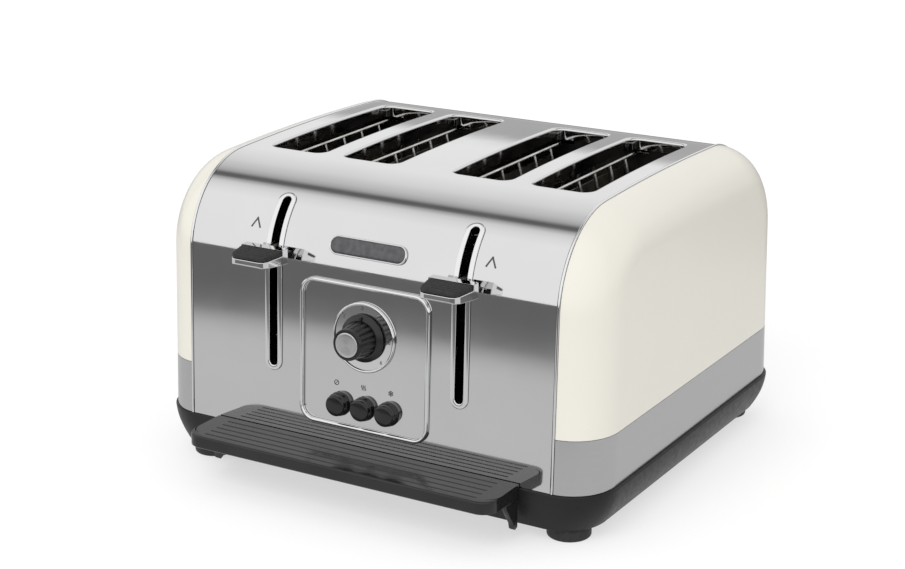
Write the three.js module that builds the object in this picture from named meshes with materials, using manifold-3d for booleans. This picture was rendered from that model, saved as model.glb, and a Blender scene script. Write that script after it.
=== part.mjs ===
// Four-slice pop-up toaster: steel wrap, painted end covers, black base, two levers,
// a browning knob, three buttons and a crumb tray that pulls out at the front.
// Millimetres. +X to the right, +Y to the back, +Z up, and the feet stand on z = 0.

import * as THREE from 'three';
import { mergeVertices } from 'three/addons/utils/BufferGeometryUtils.js';
import Module from 'manifold-3d';

const wasm = await Module();
wasm.setup();

// ---------- driving dimensions ----------
const GAP = 0.3;                 // between pieces that touch

// steel wrap: front, top and back in one bent sheet
const BODY_WIDTH = 259.2;
const BODY_DEPTH = 277;          // at the wrap's lower edge
const BODY_TOP = 198;            // highest point of the crowned top
const FACE_LEAN = 2.7 * Math.PI / 180;
const CORNER_R = 58;             // bend between front and top
const CROWN_R = 1900;            // the top's own gentle curve
const SHEET = 1;

// end covers and the steel bands below them
const END_DEPTH = 28.4;          // how far an end stands out sideways
const END_ROUND = 30;            // how far its profile draws in over that depth
const COVER_WALL = 1.2;
const BAND_WALL = 1.2;
const BAND_TOP = 67.6;
const SEAM_WIDTH = 1.6;
const SEAM_PROUD = 0.7;

// base
const FOOT_HEIGHT = 8;
const FOOT_R = 13.5;
const FOOT_INSET_X = 29;         // foot centre in from the rim
const FOOT_INSET_Y = 24;
const BASE_TOP = 33.6;
const BASE_RIM_X = 2;            // rim stands out past the end covers
const BASE_RIM_Y = 1.5;          // and past the wrap
const BASE_TUCK_X = 10.3;        // how far the skirt draws in by its lower edge
const BASE_TUCK_Y = 6;
const BASE_CORNER_R = 32;
const BASE_FLOOR = 4;
const BASE_WALL = 3.5;
const PLATE = 0.8;               // base plate and chassis sheet

// bread slots
const SLOT_WIDTH = 40.8;
const SLOT_LENGTH = 140;
const SLOT_Y = 3.2;              // slots sit a little behind the middle
const SLOT_PITCH = 55.2;         // between the two slots of one pair
const PAIR_X = 67.8;             // middle of each pair
const SLOT_CORNER_R = 7;
const FLANGE_DEPTH = 9;          // slot edges turned down

// levers
const LEVER_X = 67;
const LEVER_Z = 150;             // lever at rest
const LEVER_DROP = 67.5;
const LEVER_LIFT = 25;
const STEM_WIDTH = 3.6;
const STEM_HEIGHT = 8;
const LEVER_SLOT_WIDTH = 6;
const TRIM_BORDER = 3.2;
const HANDLE_REACH = 21.5;
const HANDLE_BACK_WIDTH = 31;
const HANDLE_FRONT_WIDTH = 25;

// control panel, measured up the face from the wrap's lower edge
const BEZEL_WIDTH = 93;
const BEZEL_HEIGHT = 93;
const BEZEL_MIDDLE = 59;
const BEZEL_BAR = 2.6;
const BEZEL_PROUD = 2.4;
const BEZEL_EASE = 0.6;          // rounding of the bead's edges
const BEZEL_CORNER_R = 10.6;
const DIAL_UP = 72.8;
const DIAL_R = 22;
const KNOB_SKIRT_R = 15;
const KNOB_GRIP_R = 11.4;
const KNOB_LENGTH = 20;
const KNOB_CAP_R = 7.8;
const SHAFT_R = 3;
const BUTTON_UP = 27.4;
const BUTTON_PITCH = 17.6;
const BUTTON_R = 7.5;
const BUTTON_PROUD = 6.6;
const BUTTON_TRAVEL = 3;
const BOARD_DEPTH = 15.4;        // circuit board's distance behind the panel

// badge
const BADGE_WIDTH = 55;
const BADGE_HEIGHT = 12;
const BADGE_Z = 160;

// front ledge and crumb tray
const LEDGE_HALF = 109.5;
const LEDGE_REACH = 36.5;        // out from the wrap
const LEDGE_Z = 36;
const LEDGE_ROUND = 10;
const HANDLE_LOW = 28;
const TRAY_HALF = 103;
const TRAY_FLOOR_Z = 28.6;
const TRAY_WALL = 0.8;
const TRAY_TOP = 33;

// heating chamber
const CHAMBER_MARGIN = 7;        // chassis plates stand this far past the slots
const CHASSIS_TOP = 188;
const MICA = 1;
const BOARD_LOW = 44;
const BOARD_HIGH = 176;
const WINDINGS = 6;
const GUARD_OFFSET = 15;         // guard wires either side of a slot's middle
const GUARD_TRAVEL = 5;          // they close in by this much as the carriage drops
const WIRE_R = 1.1;
const GUARD_WIRES = 6;
const GUARD_FLARE = 3;           // the uprights' tips lean out by this much
const RACK_TOP = 118;            // bread rests here with the lever up
const RACK_HEIGHT = 10;
const RACK_BARS = 6;
const RACK_BAR_HALF = 8;
const ROD_R = 2.5;
const SPRING_R = 4;
const SPRING_WIRE_R = 0.6;
const SPRING_TURNS = 7;

// cord inlet
const INLET_X = 100;
const INLET_Z = 20.5;
const INLET_R = 6;
const INLET_BORE = 3.4;
const INLET_REACH = 3;           // past the base's back edge

// ---------- values worked out from them ----------
const HALF_W = BODY_WIDTH / 2;
const HALF_D = BODY_DEPTH / 2;
const WRAP_LOW = BASE_TOP + GAP;
const SEAM_OUT = HALF_W + GAP + SEAM_WIDTH;
const COVER_IN = SEAM_OUT + GAP;
const END_X = HALF_W + END_DEPTH;
const BASE_X = END_X + BASE_RIM_X;
const BASE_Y = HALF_D + BASE_RIM_Y;
const FOOT_X = BASE_X - FOOT_INSET_X;
const FOOT_Y = BASE_Y - FOOT_INSET_Y;
const FLOOR_TOP = FOOT_HEIGHT + BASE_FLOOR;
const PLATE_TOP = FLOOR_TOP + GAP + PLATE;
const CHASSIS_LOW = PLATE_TOP + GAP;
const CHAMBER_FRONT = SLOT_Y - SLOT_LENGTH / 2 - CHAMBER_MARGIN;
const CHAMBER_BACK = SLOT_Y + SLOT_LENGTH / 2 + CHAMBER_MARGIN;
const CHASSIS_HALF = HALF_W - 5.6;
const CARRIAGE_BACK = CHAMBER_FRONT - PLATE - 5;
const CARRIAGE_FRONT = CARRIAGE_BACK - 1.5;
const MECHANISM_Y = CARRIAGE_FRONT - 8;
const GUARD_TIP = BODY_TOP - FLANGE_DEPTH - 3;
const MECHANISM_TOP = GUARD_TIP + WIRE_R + GAP;
const MECHANISM_LOW = TRAY_TOP + 1.5;
const ROD_X = PAIR_X + 16;
const SPRING_X = PAIR_X - 16;
const LUG_Z = LEVER_Z - 6;
const LUG_TOP = LUG_Z + 1.7;
const CARRIAGE_LOW = RACK_TOP - RACK_HEIGHT - 1;
const YOKE_TOP = CARRIAGE_LOW - LEVER_DROP - 1;
const MAGNET_TOP = YOKE_TOP + 19.5;
const KEEPER = 3;                // keeper plate's thickness
const KEEPER_Z = MAGNET_TOP + 0.5 + LEVER_DROP;
const HANDLE_BACK = -HALF_D - 1.7;
const LEDGE_BACK = -HALF_D - 0.6;
const LEDGE_FRONT = -HALF_D - LEDGE_REACH;
const SLOT_XS = [-1, 1].flatMap((side) => [-0.5, 0.5].map((half) => side * PAIR_X + half * SLOT_PITCH));
const BACK_REACH = BASE_Y + INLET_REACH;
const CENTRE_SHIFT = (-LEDGE_FRONT - BACK_REACH) / 2;

// ---------- solids ----------
const AXES_X = new THREE.Matrix4().set(0, 0, 1, 0, 1, 0, 0, 0, 0, 1, 0, 0, 0, 0, 0, 1);
const AXES_Y = new THREE.Matrix4().set(1, 0, 0, 0, 0, 0, -1, 0, 0, 1, 0, 0, 0, 0, 0, 1);

function toSolid(geometry) {
  const bare = geometry.clone();
  bare.deleteAttribute('normal');
  bare.deleteAttribute('uv');
  const merged = mergeVertices(bare, 1e-4);
  const vertProperties = new Float32Array(merged.attributes.position.array);
  const triVerts = new Uint32Array(merged.index.array);
  return new wasm.Manifold(new wasm.Mesh({ numProp: 3, vertProperties, triVerts }));
}

function toGeometry(solid) {
  const mesh = solid.getMesh();
  const geometry = new THREE.BufferGeometry();
  geometry.setAttribute('position', new THREE.BufferAttribute(mesh.vertProperties, 3));
  geometry.setIndex(new THREE.BufferAttribute(mesh.triVerts, 1));
  return geometry;
}

const joined = (solids) => solids.reduce((whole, solid) => whole.add(solid));
const cut = (solid, cutters) => cutters.reduce((left, cutter) => left.subtract(cutter), solid);
const polygon = (points) => new THREE.Shape(points.map(([a, b]) => new THREE.Vector2(a, b)));

function extruded(shape, depth, curveSegments = 4) {
  return new THREE.ExtrudeGeometry(shape, { depth, curveSegments, bevelEnabled: false });
}

// A shape drawn in (y, z), carried from x0 to x1.
const alongX = (shape, x0, x1) => toSolid(extruded(shape, x1 - x0).applyMatrix4(AXES_X).translate(x0, 0, 0));

// A shape drawn in (x, z), carried from y0 to y1.
const alongY = (shape, y0, y1) => toSolid(extruded(shape, y1 - y0).applyMatrix4(AXES_Y).translate(0, y1, 0));

// A shape drawn in (x, y), carried from z0 to z1.
const alongZ = (shape, z0, z1, segments) => toSolid(extruded(shape, z1 - z0, segments).translate(0, 0, z0));

function block(x0, x1, y0, y1, z0, z1) {
  const box = new THREE.BoxGeometry(Math.abs(x1 - x0), Math.abs(y1 - y0), Math.abs(z1 - z0));
  return toSolid(box.translate((x0 + x1) / 2, (y0 + y1) / 2, (z0 + z1) / 2));
}

function post(x, y, radius, z0, z1, sides = 16) {
  const cylinder = new THREE.CylinderGeometry(radius, radius, z1 - z0, sides);
  return toSolid(cylinder.rotateX(Math.PI / 2).translate(x, y, (z0 + z1) / 2));
}

// A profile of [radius, height] points turned about the vertical axis.
function turned(profile, sides = 24) {
  const points = profile.map(([radius, height]) => new THREE.Vector2(radius, height));
  return toSolid(new THREE.LatheGeometry(points, sides).rotateX(Math.PI / 2));
}

// A tube of a few flat sides along a curve.
function tube(curve, radius, steps, sides = 6) {
  const ring = Array.from({ length: sides }, (_, i) => {
    const angle = 2 * Math.PI * i / sides;
    return [radius * Math.cos(angle), radius * Math.sin(angle)];
  });
  const settings = { steps, extrudePath: curve, bevelEnabled: false };
  return toSolid(new THREE.ExtrudeGeometry(polygon(ring), settings));
}

function roundedRect(cx, cy, width, height, radius) {
  const x = width / 2 - radius;
  const y = height / 2 - radius;
  const shape = new THREE.Shape();
  shape.absarc(cx + x, cy - y, radius, -Math.PI / 2, 0, false);
  shape.absarc(cx + x, cy + y, radius, 0, Math.PI / 2, false);
  shape.absarc(cx - x, cy + y, radius, Math.PI / 2, Math.PI, false);
  shape.absarc(cx - x, cy - y, radius, Math.PI, 1.5 * Math.PI, false);
  return shape;
}

const stadium = (cx, cy, width, height) => (
  roundedRect(cx, cy, width, height, Math.min(width, height) / 2 - 0.01));

// A closed skin over rings of equally many points, lowest ring first.
function loft(rings) {
  const count = rings[0].length;
  const position = rings.flat().flatMap((p) => [p.x, p.y, p.z]);
  const index = [];
  const centre = (ring) => ring.reduce((sum, p) => sum.add(p), new THREE.Vector3()).divideScalar(count);
  for (let level = 0; level + 1 < rings.length; level += 1) {
    for (let i = 0; i < count; i += 1) {
      const a = level * count + i;
      const b = level * count + (i + 1) % count;
      index.push(a, b, b + count, a, b + count, a + count);
    }
  }
  const top = (rings.length - 1) * count;
  const lowCentre = rings.length * count;
  for (const p of [centre(rings[0]), centre(rings.at(-1))]) position.push(p.x, p.y, p.z);
  for (let i = 0; i < count; i += 1) {
    const next = (i + 1) % count;
    index.push(lowCentre, next, i, lowCentre + 1, top + i, top + next);
  }
  const geometry = new THREE.BufferGeometry();
  geometry.setAttribute('position', new THREE.Float32BufferAttribute(position, 3));
  geometry.setIndex(index);
  return toSolid(geometry);
}

// ---------- the body's side profile ----------
const CORNER_STEPS = 9;
const CROWN_STEPS = 3;
const CROWN_CENTRE_Z = BODY_TOP - CROWN_R;

// Centre of the front bend: it touches the leaning face and the crown.
function bendCentre() {
  let y = HALF_D - CORNER_R;
  let z = BODY_TOP - CORNER_R;
  for (let pass = 0; pass < 6; pass += 1) {
    const tangentZ = z + CORNER_R * Math.sin(FACE_LEAN);
    y = HALF_D - CORNER_R * Math.cos(FACE_LEAN) - (tangentZ - WRAP_LOW) * Math.tan(FACE_LEAN);
    z = CROWN_CENTRE_Z + Math.sqrt((CROWN_R - CORNER_R) ** 2 - y ** 2);
  }
  return { y, z };
}
const BEND = bendCentre();

// [y, z] points over the top, from the front's lower end to the back's, grown by outset.
function bodyProfile(outset, low) {
  const crownAngle = Math.asin(BEND.y / (CROWN_R - CORNER_R));
  const bendR = CORNER_R + outset;
  const bend = Array.from({ length: CORNER_STEPS + 1 }, (_, i) => {
    const span = Math.PI / 2 - FACE_LEAN - crownAngle;
    const angle = Math.PI - FACE_LEAN - span * i / CORNER_STEPS;
    return [-BEND.y + bendR * Math.cos(angle), BEND.z + bendR * Math.sin(angle)];
  });
  const crown = Array.from({ length: CROWN_STEPS }, (_, i) => {
    const angle = crownAngle * (1 - (i + 1) / CROWN_STEPS);
    return [-(CROWN_R + outset) * Math.sin(angle), CROWN_CENTRE_Z + (CROWN_R + outset) * Math.cos(angle)];
  });
  const foot = [bend[0][0] - (bend[0][1] - low) * Math.tan(FACE_LEAN), low];
  const front = [foot, ...bend, ...crown];
  const back = front.slice(0, -1).reverse().map(([y, z]) => [-y, z]);
  return [...front, ...back];
}

const bodySolid = (outset, x0, x1, low = WRAP_LOW) => alongX(polygon(bodyProfile(outset, low)), x0, x1);

// The space between two grown copies of the body, for pieces that lie on the wrap.
function bodyLayer(inner, outer, x0, x1) {
  return bodySolid(outer, x0, x1).subtract(bodySolid(inner, x0 - 1, x1 + 1, WRAP_LOW - 1));
}

// ---------- the panel's own frame: x right, y up the face, z straight out of it ----------
const panel = new THREE.Group();
panel.rotation.x = Math.PI / 2 - FACE_LEAN;
panel.position.set(0, -HALF_D, WRAP_LOW);
panel.updateMatrix();

const inPanelFrame = (solid) => toSolid(toGeometry(solid).applyMatrix4(panel.matrix));

// ---------- nodes ----------
const toaster = new THREE.Group();
toaster.position.y = CENTRE_SHIFT;
toaster.add(panel);

const STEEL = { color: 0xc9cacb, roughness: 0.12, metalness: 1 };
const BRUSHED = { color: 0xb4b6b8, roughness: 0.35, metalness: 1 };
const CREAM = { color: 0xe8e3d6, roughness: 0.4, metalness: 0 };
const CHROME = { color: 0xdcdddf, roughness: 0.06, metalness: 1 };
const BLACK = { color: 0x232425, roughness: 0.45, metalness: 0 };
const RUBBER = { color: 0x1b1b1c, roughness: 0.8, metalness: 0 };
const DARK_STEEL = { color: 0x55575a, roughness: 0.5, metalness: 1 };
const MICA_BOARD = { color: 0x9a9284, roughness: 0.6, metalness: 0 };
const BOARD_GREEN = { color: 0x2e6b3f, roughness: 0.6, metalness: 0 };
const COPPER = { color: 0xa86b3c, roughness: 0.4, metalness: 1 };

function node(name, solid, finish, group = toaster) {
  const mesh = new THREE.Mesh(toGeometry(solid), new THREE.MeshStandardMaterial(finish));
  mesh.name = name;
  group.add(mesh);
}

const SIDES = [['left', -1], ['right', 1]];

// ---------- outer body ----------
const LEVER_SLOT_LOW = LEVER_Z - LEVER_DROP - STEM_HEIGHT / 2 - 1.2;
const LEVER_SLOT_HIGH = LEVER_Z + LEVER_LIFT + STEM_HEIGHT / 2 + 1.2;
const LEVER_SLOT_MIDDLE = (LEVER_SLOT_LOW + LEVER_SLOT_HIGH) / 2;
const LEVER_SLOT_HEIGHT = LEVER_SLOT_HIGH - LEVER_SLOT_LOW;
const COLLAR = 0.7;
const FRONT_HALF = -BEND.y - 15;

// A lever slot's outline grown by a border, as a cutter through the front only.
function leverSlot(x, border) {
  const shape = stadium(x, LEVER_SLOT_MIDDLE, LEVER_SLOT_WIDTH + 2 * border, LEVER_SLOT_HEIGHT + 2 * border);
  return alongY(shape, -HALF_D - 20, FRONT_HALF);
}

function breadOpening(x, border, low) {
  const width = SLOT_WIDTH + 2 * border;
  const length = SLOT_LENGTH + 2 * border;
  const shape = roundedRect(x, SLOT_Y, width, length, SLOT_CORNER_R + border);
  return alongZ(shape, low, BODY_TOP + 5, 3);
}

function panelHoles() {
  const shaft = post(0, DIAL_UP, SHAFT_R + 1, -10, 10);
  const buttons = [-1, 0, 1].map((i) => post(i * BUTTON_PITCH, BUTTON_UP, BUTTON_R + 0.5, -10, 10, 18));
  return [shaft, ...buttons].map(inPanelFrame);
}

function steelWrap() {
  const sheet = bodyLayer(-SHEET, 0, -HALF_W, HALF_W);
  const body = bodySolid(0, -HALF_W, HALF_W);
  const low = BODY_TOP - FLANGE_DEPTH;
  const flanges = SLOT_XS.map((x) => breadOpening(x, SHEET, low).intersect(body));
  const slots = SLOT_XS.map((x) => breadOpening(x, 0, low - 1));
  const leverSlots = SIDES.map(([, side]) => leverSlot(side * LEVER_X, COLLAR + GAP));
  return cut(joined([sheet, ...flanges]), [...slots, ...leverSlots, ...panelHoles()]);
}

// A pillow: the body profile rounded off towards the end's flat side.
function endPillow(side, inset) {
  const core = 10;
  const geometry = new THREE.ExtrudeGeometry(polygon(bodyProfile(-inset, -CORNER_R)), {
    depth: core,
    bevelThickness: END_DEPTH - inset,
    bevelSize: END_ROUND - inset,
    bevelOffset: inset - END_ROUND,
    bevelSegments: 6,
  });
  const start = side > 0 ? HALF_W - core : -HALF_W;
  return toSolid(geometry.applyMatrix4(AXES_X).translate(start, 0, 0));
}

function endShell(side, wall, low, high) {
  const shell = endPillow(side, 0).subtract(endPillow(side, wall));
  return shell.intersect(block(side * COVER_IN, side * (END_X + 5), -HALF_D - 5, HALF_D + 5, low, high));
}

function seamTrim(side) {
  const x = side > 0 ? HALF_W + GAP : -SEAM_OUT;
  return bodyLayer(-1.5, SEAM_PROUD, x, x + SEAM_WIDTH);
}

node('steel_wrap', steelWrap(), STEEL);
for (const [name, side] of SIDES) {
  node(`${name}_end_cover`, endShell(side, COVER_WALL, BAND_TOP + GAP / 2, BODY_TOP + 5), CREAM);
  node(`${name}_lower_band`, endShell(side, BAND_WALL, WRAP_LOW, BAND_TOP - GAP / 2), BRUSHED);
  node(`${name}_seam_trim`, seamTrim(side), CHROME);
}

// ---------- base ----------
const CAVITY_X = BASE_X - BASE_TUCK_X - BASE_WALL;
const CAVITY_Y = BASE_Y - BASE_TUCK_Y - BASE_WALL;
const CAVITY_STEP = 22;
const WINDOW_X = FOOT_X - FOOT_R - 5;
const WINDOW_Y = FOOT_Y - FOOT_R - 5;
const SCREW_X = WINDOW_X + 4;
const VENT_PITCH_X = WINDOW_X * 0.38;
const VENT_PITCH_Y = WINDOW_Y * 0.36;
const NOTCH_LOW = TRAY_FLOOR_Z - 1;
const NOTCH_DEPTH = 12;

// The skirt draws in on a curve, slowly below the rim and faster near the floor.
function skirt() {
  const levels = 6;
  const rings = Array.from({ length: levels + 1 }, (_, i) => {
    const down = 1 - i / levels;
    const tuck = down ** 1.8;
    const shape = roundedRect(0, 0, 2 * (BASE_X - BASE_TUCK_X * tuck), 2 * (BASE_Y - BASE_TUCK_Y * tuck),
      BASE_CORNER_R - BASE_TUCK_Y * tuck);
    const z = BASE_TOP - (BASE_TOP - FOOT_HEIGHT) * down;
    return shape.getPoints(4).map((p) => new THREE.Vector3(p.x, p.y, z));
  });
  return loft(rings);
}

const INLET_FACE = BASE_Y - 2.4;

function inletHole() {
  const radius = INLET_R + 0.5;
  const cylinder = new THREE.CylinderGeometry(radius, radius, 40, 16);
  return toSolid(cylinder.translate(INLET_X, BASE_Y, INLET_Z));
}

function baseMoulding() {
  const floorCavity = roundedRect(0, 0, 2 * CAVITY_X, 2 * CAVITY_Y, BASE_CORNER_R - 12);
  const rimCavity = roundedRect(0, 0, 2 * (BASE_X - 6), 2 * (BASE_Y - 5.4), BASE_CORNER_R - 6);
  return cut(skirt(), [
    alongZ(floorCavity, FLOOR_TOP, BASE_TOP + 1, 4),
    alongZ(rimCavity, CAVITY_STEP, BASE_TOP + 1, 4),
    block(-WINDOW_X, WINDOW_X, -WINDOW_Y, WINDOW_Y, FOOT_HEIGHT - 1, FLOOR_TOP + 1),
    block(-TRAY_HALF - 1.5, TRAY_HALF + 1.5, -BASE_Y - 1, -BASE_Y + NOTCH_DEPTH, NOTCH_LOW, BASE_TOP + 1),
    block(INLET_X - 11, INLET_X + 11, INLET_FACE, BASE_Y + 1, FLOOR_TOP - 1, BASE_TOP - 2),
    inletHole(),
    ...SIDES.map(([, side]) => post(side * SCREW_X, 0, 2, FOOT_HEIGHT - 1, FLOOR_TOP + 1, 10)),
  ]);
}

function basePlate() {
  const vents = [];
  for (let column = -2; column <= 2; column += 1) {
    for (let row = -2; row <= 2; row += 1) {
      const x = column * VENT_PITCH_X;
      const y = row * VENT_PITCH_Y;
      vents.push(block(x - 14, x + 14, y - 2, y + 2, FLOOR_TOP, PLATE_TOP + 1));
    }
  }
  const holes = SIDES.map(([, side]) => post(side * SCREW_X, 0, 2, FLOOR_TOP, PLATE_TOP + 1, 10));
  const sheet = block(-WINDOW_X - 8, WINDOW_X + 8, -WINDOW_Y - 3, WINDOW_Y + 3, FLOOR_TOP + GAP, PLATE_TOP);
  return cut(sheet, [...vents, ...holes]);
}

function baseScrew(x) {
  const head = post(x, 0, 3.4, FOOT_HEIGHT - GAP - 1.6, FOOT_HEIGHT - GAP, 12);
  return head.add(post(x, 0, 1.6, FOOT_HEIGHT - GAP - 0.1, PLATE_TOP + 2, 10));
}

function foot(x, y) {
  const chamfer = 1.5;
  const top = FOOT_HEIGHT - GAP;
  const profile = [[0, 0], [FOOT_R - chamfer, 0], [FOOT_R, chamfer], [FOOT_R, top], [0, top]];
  return turned(profile, 20).translate([x, y, 0]);
}

// A grommet with a stepped collar: no lead is fitted.
function cordInlet() {
  const inner = BASE_Y - BASE_TUCK_Y - BASE_WALL - 3;
  const collar = INLET_FACE + GAP;
  const profile = [[INLET_BORE, inner], [INLET_R, inner], [INLET_R, collar], [INLET_R + 3, collar],
    [INLET_R + 3, collar + 1.3], [INLET_R, BACK_REACH], [INLET_BORE, BACK_REACH], [INLET_BORE, inner]];
  const points = profile.map(([radius, y]) => new THREE.Vector2(radius, y));
  return toSolid(new THREE.LatheGeometry(points, 14).translate(INLET_X, 0, INLET_Z));
}

node('base_moulding', baseMoulding(), BLACK);
node('base_plate', basePlate(), BRUSHED);
for (const [name, side] of SIDES) node(`base_screw_${name}`, baseScrew(side * SCREW_X), DARK_STEEL);
for (const [end, sign] of [['front', -1], ['rear', 1]]) {
  for (const [name, side] of SIDES) node(`${end}_${name}_foot`, foot(side * FOOT_X, sign * FOOT_Y), RUBBER);
}
node('cord_inlet', cordInlet(), BLACK);

// ---------- front ledge and crumb tray ----------
const LEDGE_WALL = 2.6;
const BRACKET_WALL = 3.4;
const LEDGE_GROOVES = 5;

// The ledge's column between two levels: square against the wrap, round at the front corners.
function ledgeColumn(inset, low, high) {
  const depth = LEDGE_BACK - LEDGE_FRONT - 2 * inset;
  const back = LEDGE_BACK - inset;
  const half = LEDGE_HALF - inset;
  const outline = roundedRect(0, back, 2 * half, 2 * depth, LEDGE_ROUND - inset);
  return alongZ(outline, low, high, 4).intersect(block(-half, half, back - depth, back, low, high));
}

function ledgeGrooves() {
  const half = LEDGE_HALF - 14;
  return Array.from({ length: LEDGE_GROOVES }, (_, i) => {
    const y = LEDGE_BACK + (LEDGE_FRONT - LEDGE_BACK) * (i + 1) / (LEDGE_GROOVES + 1);
    return block(-half, half, y - 0.7, y + 0.7, LEDGE_Z - 0.8, LEDGE_Z + 1);
  });
}

// A hollow ledge across the front: its top reaches over the base's rim to the wrap, and the tray's
// floor runs into it through a mouth in its back wall.
function crumbTrayHandle() {
  const pocket = ledgeColumn(LEDGE_WALL, HANDLE_LOW - 1, LEDGE_Z - LEDGE_WALL);
  const mouth = block(-TRAY_HALF - 0.5, TRAY_HALF + 0.5, LEDGE_BACK - LEDGE_WALL - 1, LEDGE_BACK + 1,
    HANDLE_LOW - 1, TRAY_FLOOR_Z + TRAY_WALL + GAP);
  const rim = block(-LEDGE_HALF - 1, LEDGE_HALF + 1, -BASE_Y - 2 * GAP, LEDGE_BACK + 1, HANDLE_LOW - 1,
    BASE_TOP + GAP);
  return cut(ledgeColumn(0, HANDLE_LOW, LEDGE_Z), [pocket, mouth, rim, ...ledgeGrooves()]);
}

// A bar against the base under the ledge, with a bracket at each end that hangs down the base's front.
function ledgeSupport() {
  const back = -BASE_Y - 0.6;
  const top = HANDLE_LOW - GAP;
  const knee = FOOT_HEIGHT + 14;
  const outline = polygon([[back - 14, top], [back - 13, knee + 2], [back - 5, FOOT_HEIGHT + 3],
    [back - 3, FOOT_HEIGHT], [back, FOOT_HEIGHT + 1], [back, top]]);
  const brackets = SIDES.map(([, side]) => {
    const start = side > 0 ? LEDGE_HALF - BRACKET_WALL : -LEDGE_HALF;
    return alongX(outline, start, start + BRACKET_WALL);
  });
  return joined([block(-LEDGE_HALF, LEDGE_HALF, back - LEDGE_WALL, back, knee, top), ...brackets]);
}

// A pan under the racks whose floor runs on into the handle.
function crumbTray() {
  const back = CHAMBER_BACK - 2;
  const front = -BASE_Y + NOTCH_DEPTH + 2;
  const inner = TRAY_HALF - TRAY_WALL;
  const floorTop = TRAY_FLOOR_Z + TRAY_WALL;
  const floor = block(-TRAY_HALF, TRAY_HALF, LEDGE_FRONT + 6, back, TRAY_FLOOR_Z, floorTop);
  const pan = block(-TRAY_HALF, TRAY_HALF, front, back, TRAY_FLOOR_Z, TRAY_TOP);
  const hollow = block(-inner, inner, front + TRAY_WALL, back - TRAY_WALL, floorTop, TRAY_TOP + 1);
  return floor.add(pan.subtract(hollow));
}

node('ledge_support', ledgeSupport(), BLACK);
node('crumb_tray', crumbTray(), BRUSHED);
node('crumb_tray_handle', crumbTrayHandle(), BLACK);

// ---------- control panel ----------
function controlBezel() {
  const outline = (inset) => roundedRect(0, BEZEL_MIDDLE, BEZEL_WIDTH - 2 * inset, BEZEL_HEIGHT - 2 * inset,
    BEZEL_CORNER_R - inset);
  const ring = outline(BEZEL_EASE);
  ring.holes.push(outline(BEZEL_BAR - BEZEL_EASE));
  const bead = new THREE.ExtrudeGeometry(ring, {
    depth: BEZEL_PROUD - GAP - 2 * BEZEL_EASE,
    curveSegments: 4,
    bevelThickness: BEZEL_EASE,
    bevelSize: BEZEL_EASE,
    bevelSegments: 1,
  });
  return toSolid(bead.translate(0, 0, GAP + BEZEL_EASE));
}

function dialRing() {
  const profile = [[SHAFT_R + 1.5, GAP], [DIAL_R, GAP], [DIAL_R, 1.8], [DIAL_R - 1, 2.2], [DIAL_R - 1.6, 1.2],
    [SHAFT_R + 1.5, 1.2], [SHAFT_R + 1.5, GAP]];
  return turned(profile, 36).translate([0, DIAL_UP, 0]);
}

// A ring of flutes round the grip, at one height.
function flutedRing(radius, height) {
  const flutes = 18;
  return Array.from({ length: flutes * 3 }, (_, i) => {
    const angle = 2 * Math.PI * i / (flutes * 3);
    const r = i % 3 === 0 ? radius * 0.92 : radius;
    return new THREE.Vector3(r * Math.cos(angle), r * Math.sin(angle), height);
  });
}

const KNOB_BACK = 1.8;
function browningKnob() {
  const skirtDisc = turned([[0, KNOB_BACK], [KNOB_SKIRT_R, KNOB_BACK], [KNOB_SKIRT_R, 3.6],
    [KNOB_SKIRT_R - 1, 4.8], [KNOB_GRIP_R + 1, 5.4], [0, 5.4]], 36);
  const grip = loft([flutedRing(KNOB_GRIP_R, 5), flutedRing(KNOB_GRIP_R * 0.9, KNOB_LENGTH - 1),
    flutedRing(KNOB_GRIP_R * 0.86, KNOB_LENGTH)]);
  const pointer = block(-0.8, 0.8, KNOB_GRIP_R - 1, KNOB_SKIRT_R - 1, 4, 6.2);
  const bore = post(0, 0, SHAFT_R + GAP, 0, 12.4);
  const seat = post(0, 0, KNOB_CAP_R + GAP, KNOB_LENGTH - 1, KNOB_LENGTH + 1, 32);
  return cut(joined([skirtDisc, grip, pointer]), [bore, seat]).translate([0, DIAL_UP, 0]);
}

function button(i) {
  const stemEnd = -(BOARD_DEPTH - 4 - GAP - BUTTON_TRAVEL);
  const lip = BUTTON_R + 1;
  const profile = [[0, stemEnd], [SHAFT_R, stemEnd], [SHAFT_R, -4], [lip, -4], [lip, -2], [BUTTON_R, -2],
    [BUTTON_R, BUTTON_PROUD - 1.6], [BUTTON_R - 0.7, BUTTON_PROUD - 0.5], [BUTTON_R * 0.6, BUTTON_PROUD],
    [0, BUTTON_PROUD + 0.3]];
  return turned(profile, 18).translate([i * BUTTON_PITCH, BUTTON_UP, 0]);
}

// Board with three push switches and four posts to the panel.
function controlBoard() {
  const low = BUTTON_UP - 12;
  const high = DIAL_UP + 30;
  const half = BEZEL_WIDTH / 2 - 6;
  const sheet = block(-half, half, low, high, -BOARD_DEPTH - 1.6, -BOARD_DEPTH);
  const switches = [-1, 0, 1].map((i) => {
    const x = i * BUTTON_PITCH;
    return block(x - 5, x + 5, BUTTON_UP - 5, BUTTON_UP + 5, -BOARD_DEPTH - 0.2, -BOARD_DEPTH + 3.8);
  });
  const posts = [-1, 1].flatMap((side) => [low + 5, high - 5].map((up) => (
    post(side * (half - 4), up, 2.6, -BOARD_DEPTH - 0.2, -SHEET - GAP, 10))));
  return joined([sheet, ...switches, ...posts]);
}

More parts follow.
